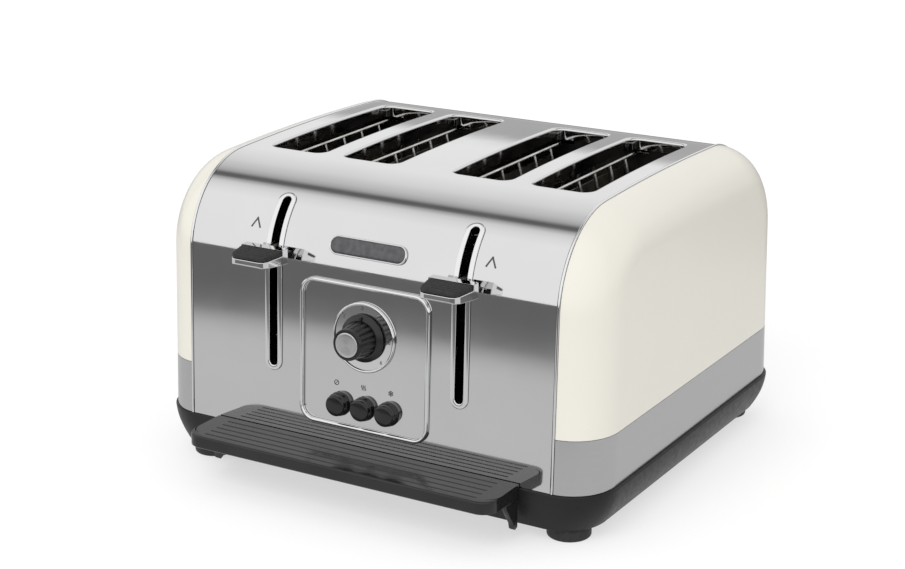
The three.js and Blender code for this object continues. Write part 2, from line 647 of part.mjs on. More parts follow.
node('control_bezel', controlBezel(), CHROME, panel);
node('dial_ring', dialRing(), STEEL, panel);
node('browning_knob', browningKnob(), BLACK, panel);
node('knob_cap', post(0, DIAL_UP, KNOB_CAP_R, KNOB_LENGTH - 1 + GAP, KNOB_LENGTH + 0.4, 32), BRUSHED, panel);
node('knob_shaft', post(0, DIAL_UP, SHAFT_R, -BOARD_DEPTH + 9.4, 12), DARK_STEEL, panel);
node('browning_control', post(0, DIAL_UP, 8.5, -BOARD_DEPTH + GAP, -BOARD_DEPTH + 9, 20), DARK_STEEL, panel);
['cancel', 'reheat', 'defrost'].forEach((name, i) => node(`${name}_button`, button(i - 1), BLACK, panel));
node('control_board', controlBoard(), BOARD_GREEN, panel);

function badge() {
  const outline = alongY(stadium(0, BADGE_Z, BADGE_WIDTH, BADGE_HEIGHT), -HALF_D - 20, FRONT_HALF);
  return bodyLayer(GAP, 1.9, -BADGE_WIDTH, BADGE_WIDTH).intersect(outline);
}
node('badge', badge(), DARK_STEEL);

function slotTrim(side) {
  const x = side * LEVER_X;
  const bore = leverSlot(x, 0);
  const flange = bodyLayer(GAP, 1.1, x - 10, x + 10).intersect(leverSlot(x, TRIM_BORDER));
  const collar = bodyLayer(-3, 0.6, x - 10, x + 10).intersect(leverSlot(x, COLLAR));
  return flange.add(collar).subtract(bore);
}
for (const [name, side] of SIDES) node(`${name}_slot_trim`, slotTrim(side), CHROME);

// ---------- levers and carriages ----------
const SOCKET_DEPTH = 10;
const TONGUE_HALF = 1.5;
const PAD_BACK = HANDLE_BACK - 5.4;
const HANDLE_FRONT = HANDLE_BACK - HANDLE_REACH;

function handleOutline(x, inset) {
  const back = HANDLE_BACK_WIDTH / 2 - inset;
  const front = HANDLE_FRONT_WIDTH / 2 - inset;
  const end = HANDLE_FRONT + inset;
  const turn = 4;
  const half = [[back, HANDLE_BACK], [back, PAD_BACK - 2], [front + 1, end + turn], [front - 1, end + 1],
    [front - turn, end]];
  const right = half.map(([dx, y]) => [x + dx, y]).reverse();
  return polygon([...half.map(([dx, y]) => [x - dx, y]), ...right]);
}

function leverHandle(side) {
  const x = side * LEVER_X;
  const section = polygon([[HANDLE_BACK, LEVER_Z - 3.4], [HANDLE_FRONT + 1, LEVER_Z - 2.2],
    [HANDLE_FRONT, LEVER_Z - 1.4], [HANDLE_FRONT, LEVER_Z + 1.6], [PAD_BACK, LEVER_Z + 2.6],
    [PAD_BACK, LEVER_Z + 6], [HANDLE_BACK, LEVER_Z + 6.2]]);
  const solid = alongX(section, x - HANDLE_BACK_WIDTH, x + HANDLE_BACK_WIDTH)
    .intersect(alongZ(handleOutline(x, 0), LEVER_Z - 10, LEVER_Z + 10));
  const half = STEM_WIDTH / 2 + GAP;
  const rise = TONGUE_HALF + GAP;
  const socketEnd = HANDLE_BACK - SOCKET_DEPTH;
  const socket = block(x - half, x + half, socketEnd, HANDLE_BACK + 1, LEVER_Z - rise, LEVER_Z + rise);
  return solid.subtract(socket);
}

function leverPad(side) {
  const x = side * LEVER_X;
  const back = PAD_BACK - GAP;
  const front = HANDLE_FRONT + 0.8;
  const section = polygon([[back, LEVER_Z + 2.9], [front, LEVER_Z + 1.95], [front + 0.4, LEVER_Z + 3],
    [front + 3, LEVER_Z + 4.4], [back - 1, LEVER_Z + 5.9], [back, LEVER_Z + 5.6]]);
  const solid = alongX(section, x - HANDLE_BACK_WIDTH, x + HANDLE_BACK_WIDTH)
    .intersect(alongZ(handleOutline(x, 0.8), LEVER_Z, LEVER_Z + 10));
  const grooves = [1, 2, 3, 4].map((i) => {
    const y = back - i * 2.5;
    const z = LEVER_Z + 5.9 + (y - back + 1) * 0.12;
    return block(x - 11, x + 11, y - 0.5, y + 0.5, z - 0.6, z + 2);
  });
  return cut(solid, grooves);
}

// Plate across both slots, the stem to the handle, a bush on the rod, a spring lug and a shelf.
function carriage(side) {
  const across = (x, half, front, low, high) => (
    block(side * x - half, side * x + half, front, CARRIAGE_BACK, low, high));
  const stemRise = STEM_HEIGHT / 2;
  const stemHalf = STEM_WIDTH / 2;
  const plateHalf = SLOT_PITCH / 2 + 6;
  const plate = across(PAIR_X, plateHalf, CARRIAGE_FRONT, CARRIAGE_LOW, LEVER_Z + stemRise);
  const stem = across(LEVER_X, stemHalf, HANDLE_BACK + GAP, LEVER_Z - stemRise, LEVER_Z + stemRise);
  const tongueFront = HANDLE_BACK - SOCKET_DEPTH + GAP;
  const tongue = across(LEVER_X, stemHalf, tongueFront, LEVER_Z - TONGUE_HALF, LEVER_Z + TONGUE_HALF);
  const bore = post(side * ROD_X, MECHANISM_Y, ROD_R + 0.5, KEEPER_Z - 20, KEEPER_Z + 20);
  const bush = across(ROD_X, 4.5, MECHANISM_Y - 4.5, KEEPER_Z - 14, KEEPER_Z + 12).subtract(bore);
  const lug = across(SPRING_X, 5, MECHANISM_Y - 5, LUG_Z, LUG_TOP);
  const shelf = across(PAIR_X, 7, MECHANISM_Y - 18, KEEPER_Z + KEEPER + GAP, KEEPER_Z + KEEPER + 2);
  return joined([plate, stem, tongue, bush, lug, shelf]);
}

function keeperPlate(side) {
  const x = side * PAIR_X;
  return block(x - 8, x + 8, MECHANISM_Y - 18, MECHANISM_Y - 2, KEEPER_Z, KEEPER_Z + KEEPER);
}

// A blade that runs through both chassis plates, with cross bars for the bread.
function breadRack(x) {
  const front = CARRIAGE_BACK + GAP;
  const back = CHAMBER_BACK + PLATE + 4;
  const blade = block(x - 1, x + 1, front, back, RACK_TOP - RACK_HEIGHT, RACK_TOP);
  const bars = Array.from({ length: RACK_BARS }, (_, i) => {
    const y = SLOT_Y + (i - (RACK_BARS - 1) / 2) * SLOT_LENGTH / (RACK_BARS + 0.6);
    return block(x - RACK_BAR_HALF, x + RACK_BAR_HALF, y - 1.5, y + 1.5, RACK_TOP - 1.5, RACK_TOP);
  });
  return joined([blade, ...bars]);
}

// Two racks on one cross bar behind the carriage plate.
function breadRacks(side) {
  const middle = side * PAIR_X;
  const reach = SLOT_PITCH / 2 + 1;
  const y = CARRIAGE_BACK + GAP;
  const bar = block(middle - reach, middle + reach, y, y + 1.5, RACK_TOP - RACK_HEIGHT, RACK_TOP);
  return joined([bar, ...[-0.5, 0.5].map((half) => breadRack(middle + half * SLOT_PITCH))]);
}

class Helix extends THREE.Curve {
  constructor(x, y, low, high) {
    super();
    Object.assign(this, { x, y, low, high });
  }

  getPoint(t, target = new THREE.Vector3()) {
    const angle = 2 * Math.PI * SPRING_TURNS * t;
    const height = this.low + (this.high - this.low) * t;
    return target.set(this.x + SPRING_R * Math.cos(angle), this.y + SPRING_R * Math.sin(angle), height);
  }
}

function returnSpring(side) {
  const low = LUG_TOP + GAP + SPRING_WIRE_R;
  const high = MECHANISM_TOP - GAP - SPRING_WIRE_R;
  return tube(new Helix(side * SPRING_X, MECHANISM_Y, low, high), SPRING_WIRE_R, SPRING_TURNS * 8, 4);
}

// Coil and core on a foot that runs back to the chassis plate.
function electromagnet(side) {
  const x = side * PAIR_X;
  const y = MECHANISM_Y - 10;
  const back = CHAMBER_FRONT - PLATE - GAP;
  const yoke = block(x - 9, x + 9, y - 9, back, YOKE_TOP - 2, YOKE_TOP);
  const tab = block(x - 9, x + 9, back - 1.5, back, YOKE_TOP - 4.5, YOKE_TOP);
  const coil = post(x, y, 8, YOKE_TOP - 0.2, MAGNET_TOP - 3, 16);
  const core = post(x, y, 4, YOKE_TOP - 0.2, MAGNET_TOP, 12);
  return joined([yoke, tab, coil, core]);
}

const guideRod = (side) => (
  post(side * ROD_X, MECHANISM_Y, ROD_R, MECHANISM_LOW + 1.5 + GAP, MECHANISM_TOP - GAP));

for (const [name, side] of SIDES) {
  node(`${name}_lever_handle`, leverHandle(side), CHROME);
  node(`${name}_lever_pad`, leverPad(side), RUBBER);
  node(`${name}_carriage`, carriage(side), BRUSHED);
  node(`${name}_keeper_plate`, keeperPlate(side), DARK_STEEL);
  node(`${name}_bread_racks`, breadRacks(side), DARK_STEEL);
  node(`${name}_guide_rod`, guideRod(side), STEEL);
  node(`${name}_return_spring`, returnSpring(side), STEEL);
  node(`${name}_electromagnet`, electromagnet(side), COPPER);
}

// ---------- heating chamber ----------
const GUARD_LOW = 70;
const GUARD_BACK_OFF = GUARD_TRAVEL * LEVER_LIFT / LEVER_DROP;

// Slots in a chassis plate for the racks and for the guards' long wires.
function chassisSlots(y0, y1) {
  const slots = [];
  const room = WIRE_R + 0.6;
  const rackLow = RACK_TOP - RACK_HEIGHT - LEVER_DROP - 2;
  const rackHigh = RACK_TOP + LEVER_LIFT + 2;
  for (const x of SLOT_XS) {
    slots.push(block(x - 2, x + 2, y0, y1, rackLow, rackHigh));
    for (const side of [-1, 1]) {
      for (const [flare, z] of [[0, GUARD_LOW], [GUARD_FLARE, GUARD_TIP]]) {
        const inner = x + side * (GUARD_OFFSET + flare - GUARD_TRAVEL - room);
        const outer = x + side * (GUARD_OFFSET + flare + GUARD_BACK_OFF + room);
        slots.push(block(inner, outer, y0, y1, z - room, z + room));
      }
    }
  }
  return slots;
}

function chassisPlate(y0, half) {
  const sheet = block(-half, half, y0, y0 + PLATE, CHASSIS_LOW, CHASSIS_TOP);
  return cut(sheet, chassisSlots(y0 - 1, y0 + PLATE + 1));
}

function frontChassisPlate() {
  const y = CHAMBER_FRONT - PLATE;
  const tabs = SIDES.flatMap(([, side]) => [
    [ROD_X, MECHANISM_TOP], [SPRING_X, MECHANISM_TOP], [ROD_X, MECHANISM_LOW],
  ].map(([x, z]) => block(side * x - 5, side * x + 5, MECHANISM_Y - 5, y + 0.5, z, z + 1.5)));
  const half = TRAY_HALF + 2;
  const trayWindow = block(-half, half, y - 1, y + PLATE + 1, TRAY_FLOOR_Z - 1.6, TRAY_TOP + 1.2);
  return cut(joined([chassisPlate(y, CHASSIS_HALF), ...tabs]), [trayWindow]);
}

// The rear plate and both side shields are one sheet bent to a U.
function rearChassis() {
  const inner = CHASSIS_HALF + GAP;
  const shields = SIDES.map(([, side]) => (
    block(side * inner, side * (inner + PLATE), CHAMBER_FRONT - PLATE, CHAMBER_BACK + PLATE / 2,
      CHASSIS_LOW, CHASSIS_TOP)));
  return joined([chassisPlate(CHAMBER_BACK, inner + PLATE), ...shields]);
}

// A mica board wound with flat heating ribbon; each turn lies in a row on both faces.
function heaterBoard(x) {
  const back = CHAMBER_BACK - 3;
  const front = CHAMBER_FRONT + 3;
  const board = block(x - MICA / 2, x + MICA / 2, front, back, BOARD_LOW, BOARD_HIGH);
  const turns = Array.from({ length: WINDINGS }, (_, i) => {
    const z = BOARD_LOW + 10 + (BOARD_HIGH - BOARD_LOW - 20) * i / (WINDINGS - 1);
    return block(x - MICA / 2 - 0.4, x + MICA / 2 + 0.4, front + 5, back - 5, z - 1.2, z + 1.2);
  });
  return joined([board, ...turns]);
}

const squareRing = (x, y, z) => [[1, 0], [0, 1], [-1, 0], [0, -1]].map(([a, b]) => (
  new THREE.Vector3(x + a * WIRE_R, y + b * WIRE_R, z)));

// One wire guard: two long wires and a row of uprights whose tips flare out to the upper one.
function wireGuard(x, out) {
  const front = CHAMBER_FRONT - PLATE - (out < 0 ? 2 : 0);
  const back = CHAMBER_BACK + PLATE + (out < 0 ? 0 : 2);
  const rails = [[x, GUARD_LOW], [x + out * GUARD_FLARE, GUARD_TIP]].map(([across, z]) => {
    const ends = [front, back].map((y) => new THREE.Vector3(across, y, z));
    return tube(new THREE.LineCurve3(...ends), WIRE_R, 1, 4);
  });
  const uprights = Array.from({ length: GUARD_WIRES }, (_, i) => {
    const y = SLOT_Y + (i - (GUARD_WIRES - 1) / 2) * SLOT_LENGTH / (GUARD_WIRES + 0.4);
    const spine = [[0, GUARD_LOW - 8], [0, GUARD_TIP - 11], [GUARD_FLARE, GUARD_TIP]];
    return loft(spine.map(([flare, z]) => squareRing(x + out * flare, y, z)));
  });
  return joined([...rails, ...uprights]);
}

// The two guards of a pair that stand on the same side of their slots move together on a link
// outside the chassis plate: the left ones at the front, the right ones at the back.
function wireGuards(side, out) {
  const xs = [-0.5, 0.5].map((half) => side * PAIR_X + half * SLOT_PITCH + out * GUARD_OFFSET);
  const y = out < 0 ? CHAMBER_FRONT - PLATE - 2 : CHAMBER_BACK + PLATE + 0.8;
  const [first, last] = xs.map((x) => x + out * GUARD_FLARE);
  const link = block(first - WIRE_R, last + WIRE_R, y, y + 1.2, GUARD_TIP - 4, GUARD_TIP - 0.7);
  return joined([link, ...xs.map((x) => wireGuard(x, out))]);
}

node('front_chassis_plate', frontChassisPlate(), BRUSHED);
node('rear_chassis', rearChassis(), BRUSHED);
for (const [name, side] of SIDES) {
  ['inner', 'middle', 'outer'].forEach((place, i) => {
    node(`${name}_${place}_heater_board`, heaterBoard(side * (PAIR_X + (i - 1) * SLOT_PITCH)), MICA_BOARD);
  });
  node(`${name}_pair_left_guards`, wireGuards(side, -1), STEEL);
  node(`${name}_pair_right_guards`, wireGuards(side, 1), STEEL);
}

export default toaster;
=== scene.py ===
import math

import bmesh
import bpy
import numpy as np
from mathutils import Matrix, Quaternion, Vector
from mathutils.geometry import delaunay_2d_cdt


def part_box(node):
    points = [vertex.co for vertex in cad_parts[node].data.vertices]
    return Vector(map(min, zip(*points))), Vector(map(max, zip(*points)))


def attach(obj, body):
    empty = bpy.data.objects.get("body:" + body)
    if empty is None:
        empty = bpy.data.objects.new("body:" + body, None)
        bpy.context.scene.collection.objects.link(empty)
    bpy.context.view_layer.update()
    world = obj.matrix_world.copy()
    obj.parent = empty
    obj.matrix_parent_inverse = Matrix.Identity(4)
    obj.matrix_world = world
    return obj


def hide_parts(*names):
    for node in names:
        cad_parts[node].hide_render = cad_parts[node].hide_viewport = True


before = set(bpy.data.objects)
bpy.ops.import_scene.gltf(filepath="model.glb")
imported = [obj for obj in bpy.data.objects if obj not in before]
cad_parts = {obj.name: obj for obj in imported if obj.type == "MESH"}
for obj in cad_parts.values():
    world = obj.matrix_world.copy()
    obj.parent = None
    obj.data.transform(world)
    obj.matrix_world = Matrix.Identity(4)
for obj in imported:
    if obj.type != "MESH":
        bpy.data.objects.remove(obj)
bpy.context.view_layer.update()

bl_info = {
    "name": "Pop-up toaster",
    "version": (1, 0, 0),
    "blender": (4, 5, 0),
    "location": "View3D > Sidebar > Toaster",
    "description": "Builds the surfaces, finishes and studio of a four-slice toaster round its CAD frame",
    "category": "Object",
}

MM = 0.001
SIDES = (("left", -1), ("right", 1))


def box(node):
    """Lowest and highest corners of a CAD node, as two arrays."""
    low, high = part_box(node)
    return np.array(low), np.array(high)


WRAP_LOW, WRAP_HIGH = box("steel_wrap")
CENTRE_Y = (WRAP_LOW[1] + WRAP_HIGH[1]) / 2
HALF_WIDTH = WRAP_HIGH[0]
HALF_DEPTH = (WRAP_HIGH[1] - WRAP_LOW[1]) / 2

COVER_START = 2.2 * MM  # gap between the seam and an end cover
LEVER_SLOT_HALF = 4.0 * MM  # half the width of a lever slot in the wrap
LEVER_SLOT_END = 2.2 * MM  # how far a lever slot stops short of its frame's ends
PIN = 0.02 * MM  # radius at which a turned profile meets its axis

# Places up the leaning front, and places across for the marks over the buttons.
BUTTON_ROW = 27.4 * MM
MARK_ROW = 40.6 * MM
DIAL_ROW = 72.8 * MM
MARKS_ACROSS = {"cancel": -20.1 * MM, "reheat": -0.4 * MM, "defrost": 19.2 * MM}

BUTTON_PROUD = 6.6 * MM
KNOB_FOOT_RADIUS = 11.3 * MM
KNOB_TIP_RADIUS = 9.75 * MM
KNOB_LENGTH = 20 * MM
KNOB_BORE = 3.4 * MM
CAP_SPAN = (19.35 * MM, 20.4 * MM)  # the knob cap's back and front, out of the panel
NUMERAL_RING = 18.4 * MM
NUMERAL_SIZE = (1.3 * MM, 2.0 * MM)
INK_FOOT = 0.01 * MM  # gap under a printed mark


# ---------- sizes and colours a user can change ----------


def length(name, description, default):
    """A length property in metres."""
    return bpy.props.FloatProperty(
        name=name, description=description, default=default, unit="LENGTH", precision=4
    )


def tone(name, description, default):
    """A colour property with three linear channels."""
    return bpy.props.FloatVectorProperty(
        name=name, description=description, default=default, size=3, subtype="COLOR", min=0, max=1
    )


class ToasterBodySizes(bpy.types.PropertyGroup):
    """Sizes of the bent steel wrap, its slots and the end covers."""

    corner_radius: length("Corner radius", "Bend between the front and the top", 0.058)
    crown_radius: length("Crown radius", "The top's own gentle curve", 1.9)
    face_lean: bpy.props.FloatProperty(
        name="Face lean",
        description="How far the front and back lean inwards",
        default=math.radians(2.7),
        subtype="ANGLE",
    )
    sheet: length("Sheet", "Thickness of the wrap", 0.9 * MM)
    end_round: length("End rounding", "How far an end cover draws in towards its flat side", 0.030)
    cover_wall: length("Cover wall", "Thickness of the end covers and bands", 1.2 * MM)
    slot_width: length("Slot width", "Width of a bread slot", 0.0408)
    slot_length: length("Slot length", "Length of a bread slot", 0.140)
    slot_corner: length("Slot corner", "Corner radius of a bread slot", 7 * MM)
    slot_lip: length("Slot lip", "Rounding of a slot's turned edge", 1.6 * MM)
    slot_flange: length("Slot flange", "Depth of a slot's turned edge", 9 * MM)


class ToasterFittingSizes(bpy.types.PropertyGroup):
    """Sizes of the fine detail on the fittings."""

    groove_depth: length("Groove depth", "Depth of the grooves in the front ledge", 0.8 * MM)
    groove_width: length("Groove width", "Width of the grooves in the front ledge", 1.6 * MM)
    plastic_edge: length("Plastic edge", "Rounding of moulded plastic edges", 0.9 * MM)
    metal_edge: length("Metal edge", "Rounding of small metal edges", 0.4 * MM)
    knob_flutes: bpy.props.IntProperty(
        name="Knob flutes", description="Flutes round the knob's grip", default=18, min=6
    )
    mark_stroke: length("Mark stroke", "Width of a printed line", 0.42 * MM)
    mark_proud: length("Mark height", "Thickness of the printed marks", 0.12 * MM)


class ToasterFinishColours(bpy.types.PropertyGroup):
    """Base colours of the finishes."""

    polished_steel: tone("Polished steel", "Mirror-polished wrap", (0.70, 0.70, 0.70))
    satin_steel: tone("Satin steel", "Lower bands", (0.56, 0.56, 0.565))
    chrome: tone("Chrome", "Bright trims and levers", (0.80, 0.80, 0.81))
    cream: tone("Cream paint", "End covers", (0.72, 0.695, 0.625))
    plastic: tone("Black plastic", "Base and ledge", (0.010, 0.010, 0.011))
    gloss: tone("Gloss black", "Knob and buttons", (0.008, 0.008, 0.008))
    rubber: tone("Rubber", "Feet and lever pads", (0.014, 0.014, 0.015))
    sooty: tone("Dark steel", "Chassis and wires inside", (0.075, 0.07, 0.066))


class ToasterStage(bpy.types.PropertyGroup):
    """Camera, floor and light."""

    camera_at: bpy.props.FloatVectorProperty(
        name="Camera",
        description="Camera position",
        default=(0.6449, -1.0977, 0.5137),
        unit="LENGTH",
    )
    camera_target: bpy.props.FloatVectorProperty(
        name="Target",
        description="Point the camera looks at",
        default=(-0.01867, 0.016, 0.1),
        unit="LENGTH",
    )
    camera_roll: bpy.props.FloatProperty(
        name="Roll",
        description="Turn about the line of sight",
        default=math.radians(-0.11),
        subtype="ANGLE",
    )
    lens: bpy.props.FloatProperty(
        name="Lens",
        description="Focal length on a 36 mm wide sensor, in millimetres",
        default=81.575,
    )
    daylight: bpy.props.FloatProperty(
        name="Daylight", description="Strength of the even light", default=0.97
    )
    key: bpy.props.FloatProperty(
        name="Key light", description="Power of the soft front light in watts", default=16
    )


def body_sizes():
    return bpy.context.scene.toaster_body


def fittings():
    return bpy.context.scene.toaster_fittings


def colours():
    return bpy.context.scene.toaster_colours


# ---------- surfaces ----------


def grid_faces(rows, columns, close_rows=False, close_columns=False):
    """Quads between neighbouring points of a grid; a closed direction wraps round to its start."""
    i = np.arange(rows if close_rows else rows - 1)[:, None]
    j = np.arange(columns if close_columns else columns - 1)[None, :]
    next_i = (i + 1) % rows
    next_j = (j + 1) % columns
    corners = (i * columns + j, i * columns + next_j, next_i * columns + next_j, next_i * columns + j)
    return np.stack(corners, axis=-1).reshape(-1, 4)


class Surface:
    """Gathers patches of points and faces and turns them into one mesh."""

    def __init__(self):
        self.points = []
        self.faces = []
        self.count = 0

    def patch(self, grid, close_rows=False, close_columns=False, caps=(False, False)):
        """A grid of points (rows, columns, 3); a cap fills the loop of its first or last row."""
        rows, columns = grid.shape[:2]
        faces = grid_faces(rows, columns, close_rows, close_columns) + self.count
        self.faces.extend(faces.tolist())
        if caps[0]:
            self.faces.append(list(range(self.count + columns - 1, self.count - 1, -1)))
        if caps[1]:
            start = self.count + (rows - 1) * columns
            self.faces.append(list(range(start, start + columns)))
        self.points.append(grid.reshape(-1, 3))
        self.count += rows * columns
        return self

    def bar(self, grid):
        """Rings that close on themselves, with both ends filled."""
        return self.patch(grid, close_columns=True, caps=(True, True))

    def mesh(self, name, crease=40):
        """The mesh, its doubles merged and its faces turned outwards, smooth up to the crease angle."""
        mesh = bpy.data.meshes.new(name)
        mesh.from_pydata(np.concatenate(self.points).tolist(), [], self.faces)
        work = bmesh.new()
        work.from_mesh(mesh)
        bmesh.ops.remove_doubles(work, verts=work.verts, dist=2e-6)
        bmesh.ops.dissolve_degenerate(work, edges=work.edges, dist=1e-6)
        bmesh.ops.recalc_face_normals(work, faces=work.faces)
        work.to_mesh(mesh)
        work.free()
        mesh.shade_smooth()
        mesh.set_sharp_from_angle(angle=math.radians(crease))
        return mesh


def bar_mesh(grid, name, crease=40):
    """A solid whose rings close on themselves and whose two ends are filled."""
    return Surface().bar(grid).mesh(name, crease)


def loop_mesh(grid, name, crease=40):
    """A solid whose section and path both close on themselves."""
    return Surface().patch(grid, close_rows=True, close_columns=True).mesh(name, crease)


def add_piece(name, mesh, material, body, replaces=(), slot=None):
    """Puts a finished mesh in the scene, gives it its finish and ties it to its CAD body."""
    piece = bpy.data.objects.new(name, mesh)
    bpy.context.scene.collection.objects.link(piece)
    mesh.materials.append(material)
    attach(piece, body)
    if replaces:
        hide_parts(*replaces)
    return piece


def thick_mesh(name, points, normals, faces, wall):
    """A closed skin of even thickness: the surface, a copy moved in by the wall and a strip round each edge.

    Shading follows the given normals outside and inside, and each edge strip is flat."""
    count = len(points)
    inner = [[corner + count for corner in reversed(face)] for face in faces]
    starts = np.concatenate([np.array(face) for face in faces])
    ends = np.concatenate([np.roll(np.array(face), -1) for face in faces])
    keys = np.minimum(starts, ends).astype(np.int64) * count + np.maximum(starts, ends)
    _, first, uses = np.unique(keys, return_index=True, return_counts=True)
    rim = first[uses == 1]
    a, b = starts[rim], ends[rim]
    strip = np.stack([b, a, a + count, b + count], axis=1)
    both = np.concatenate([points, points - wall * normals])
    mesh = bpy.data.meshes.new(name)
    mesh.from_pydata(both.tolist(), [], [list(face) for face in faces] + inner + strip.tolist())
    across = both[strip[:, 1]] - both[strip[:, 0]]
    down = both[strip[:, 3]] - both[strip[:, 0]]
    flat = np.cross(across, down)
    flat /= np.maximum(np.linalg.norm(flat, axis=1, keepdims=True), 1e-12)
    inner_corners = np.concatenate([np.array(face) for face in inner]) - count
    corner_normals = np.concatenate(
        [normals[starts], -normals[inner_corners], np.repeat(flat, 4, axis=0)]
    )
    mesh.shade_smooth()
    mesh.normals_split_custom_set(corner_normals.tolist())
    return mesh


def rounded_rect(width, height, radius, steps=8):
    """Points and outward normals round a rectangle whose corners are quarter circles, anticlockwise."""
    quarter = np.linspace(0, math.pi / 2, steps + 1)
    angle = np.concatenate([quarter + k * math.pi / 2 for k in range(4)])
    sign_x = np.repeat([1, -1, -1, 1], steps + 1)
    sign_y = np.repeat([1, 1, -1, -1], steps + 1)
    normals = np.stack([np.cos(angle), np.sin(angle)], axis=1)
    centres = np.stack([sign_x * (width / 2 - radius), sign_y * (height / 2 - radius)], axis=1)
    return centres + radius * normals, normals


def arc(start, end, radius, steps, centre=(0.0, 0.0)):
    """Points on a circular arc between two angles in degrees."""
    angle = np.radians(np.linspace(start, end, steps + 1))
    return np.stack([centre[0] + radius * np.cos(angle), centre[1] + radius * np.sin(angle)], axis=1)


def resampled(points, spacing):
    """A closed loop with extra points along its straight sides, never further apart than the spacing."""
    following = np.roll(points, -1, axis=0)
    gaps = np.linalg.norm(following - points, axis=1)
    cuts = np.maximum(1, np.ceil(gaps / spacing).astype(int))
    owner = np.repeat(np.arange(len(points)), cuts)
    step = np.arange(cuts.sum()) - np.repeat(np.cumsum(cuts) - cuts, cuts)
    share = (step / cuts[owner])[:, None]
    return points[owner] * (1 - share) + following[owner] * share


def turned(profile, steps, place):
    """A profile of (radius, height) points turned about its axis; place maps (x, up, out) to the scene."""
    angle = np.linspace(0, 2 * math.pi, steps, endpoint=False)[None, :]
    radius, height = profile[:, 0][:, None], profile[:, 1][:, None]
    return place(radius * np.cos(angle), radius * np.sin(angle), height + 0 * angle)


def tube(path, radius, sides, normal, closed=False):
    """A round section carried along a path; normal is one of its two axes, square to the path."""
    tangent = np.gradient(path, axis=0)
    if closed:
        tangent = np.roll(path, -1, axis=0) - np.roll(path, 1, axis=0)
    tangent /= np.linalg.norm(tangent, axis=1, keepdims=True)
    normal = np.broadcast_to(normal, path.shape)
    binormal = np.cross(tangent, normal)
    angle = np.linspace(0, 2 * math.pi, sides, endpoint=False)[None, :, None]
    ring = np.cos(angle) * normal[:, None, :] + np.sin(angle) * binormal[:, None, :]
    return path[:, None, :] + radius * ring


def plate_rings(outline, normals, section):
    """Rings of an outline drawn in by the section's first column, with its second column as height."""
    inset, height = section[:, 0][:, None, None], section[:, 1][:, None]
    flat = outline[None] - inset * normals[None]
    return flat[..., 0], flat[..., 1], height + 0 * flat[..., 0]


def rounded_block(low, high, radius, steps=3):
    """A box with rounded edges: the normals of a sphere, pushed out to the box's eight inner corners."""
    low, high = np.array(low), np.array(high)
    quarter = np.linspace(0, math.pi / 2, steps + 1)
    around = np.concatenate([quarter + k * math.pi / 2 for k in range(4)])[None, :]
    up = np.concatenate([quarter - math.pi / 2, quarter])[:, None]
    sign_x = np.repeat([1, -1, -1, 1], steps + 1)[None, :]
    sign_y = np.repeat([1, 1, -1, -1], steps + 1)[None, :]
    sign_z = np.repeat([-1, 1], steps + 1)[:, None]
    half = (high - low) / 2 - radius
    centre = (high + low) / 2
    x = centre[0] + sign_x * half[0] + radius * np.cos(up) * np.cos(around)
    y = centre[1] + sign_y * half[1] + radius * np.cos(up) * np.sin(around)
    z = centre[2] + sign_z * half[2] + radius * np.sin(up) + 0 * around
    return np.stack([x, y, z], axis=-1)


# ---------- the body's side outline ----------


def bend_centre():
    """Centre (y, z) of the rear bend, which touches the leaning face and the crown."""
    sizes = body_sizes()
    radius, lean = sizes.corner_radius, sizes.face_lean
    crown_z = WRAP_HIGH[2] - sizes.crown_radius
    y, z = HALF_DEPTH - radius, WRAP_HIGH[2] - radius
    for _ in range(8):
        tangent_z = z + radius * math.sin(lean)
        y = HALF_DEPTH - radius * math.cos(lean) - (tangent_z - WRAP_LOW[2]) * math.tan(lean)
        z = crown_z + math.sqrt((sizes.crown_radius - radius) ** 2 - y**2)
    return y, z


def body_outline(inset=0.0, low=None, straight=12, bend=40, crown=24):
    """Points (y, z) and outward normals from the front's lower end over the top to the back's.

    A leaning straight line runs into an arc of the corner radius, and that into half the crown's arc;
    the back mirrors it. An inset draws every stretch in square to itself."""
    sizes = body_sizes()
    lean = sizes.face_lean
    low = WRAP_LOW[2] if low is None else low
    centre_y, centre_z = bend_centre()
    radius = sizes.corner_radius - inset
    crown_r = sizes.crown_radius - inset
    crown_angle = math.asin(centre_y / (sizes.crown_radius - sizes.corner_radius))
    turn = np.linspace(math.pi - lean, math.pi / 2 + crown_angle, bend + 1)
    bend_n = np.stack([np.cos(turn), np.sin(turn)], axis=1)
    bend_p = np.array([-centre_y, centre_z]) + radius * bend_n
    start = bend_p[0]
    foot = np.array([start[0] - (start[1] - low) * math.tan(lean), low])
    share = np.linspace(0, 1, straight, endpoint=False)[:, None]
    line_p = foot + (start - foot) * share
    line_n = np.repeat(bend_n[:1], straight, axis=0)
    sweep = np.linspace(crown_angle, 0, crown + 1)[1:]
    crown_n = np.stack([-np.sin(sweep), np.cos(sweep)], axis=1)
    crown_p = np.array([0, WRAP_HIGH[2] - sizes.crown_radius]) + crown_r * crown_n
    points = np.concatenate([line_p, bend_p, crown_p])
    normals = np.concatenate([line_n, bend_n, crown_n])
    flip = np.array([-1.0, 1.0])
    points = np.concatenate([points, points[-2::-1] * flip])
    normals = np.concatenate([normals, normals[-2::-1] * flip])
    return points + np.array([CENTRE_Y, 0]), normals


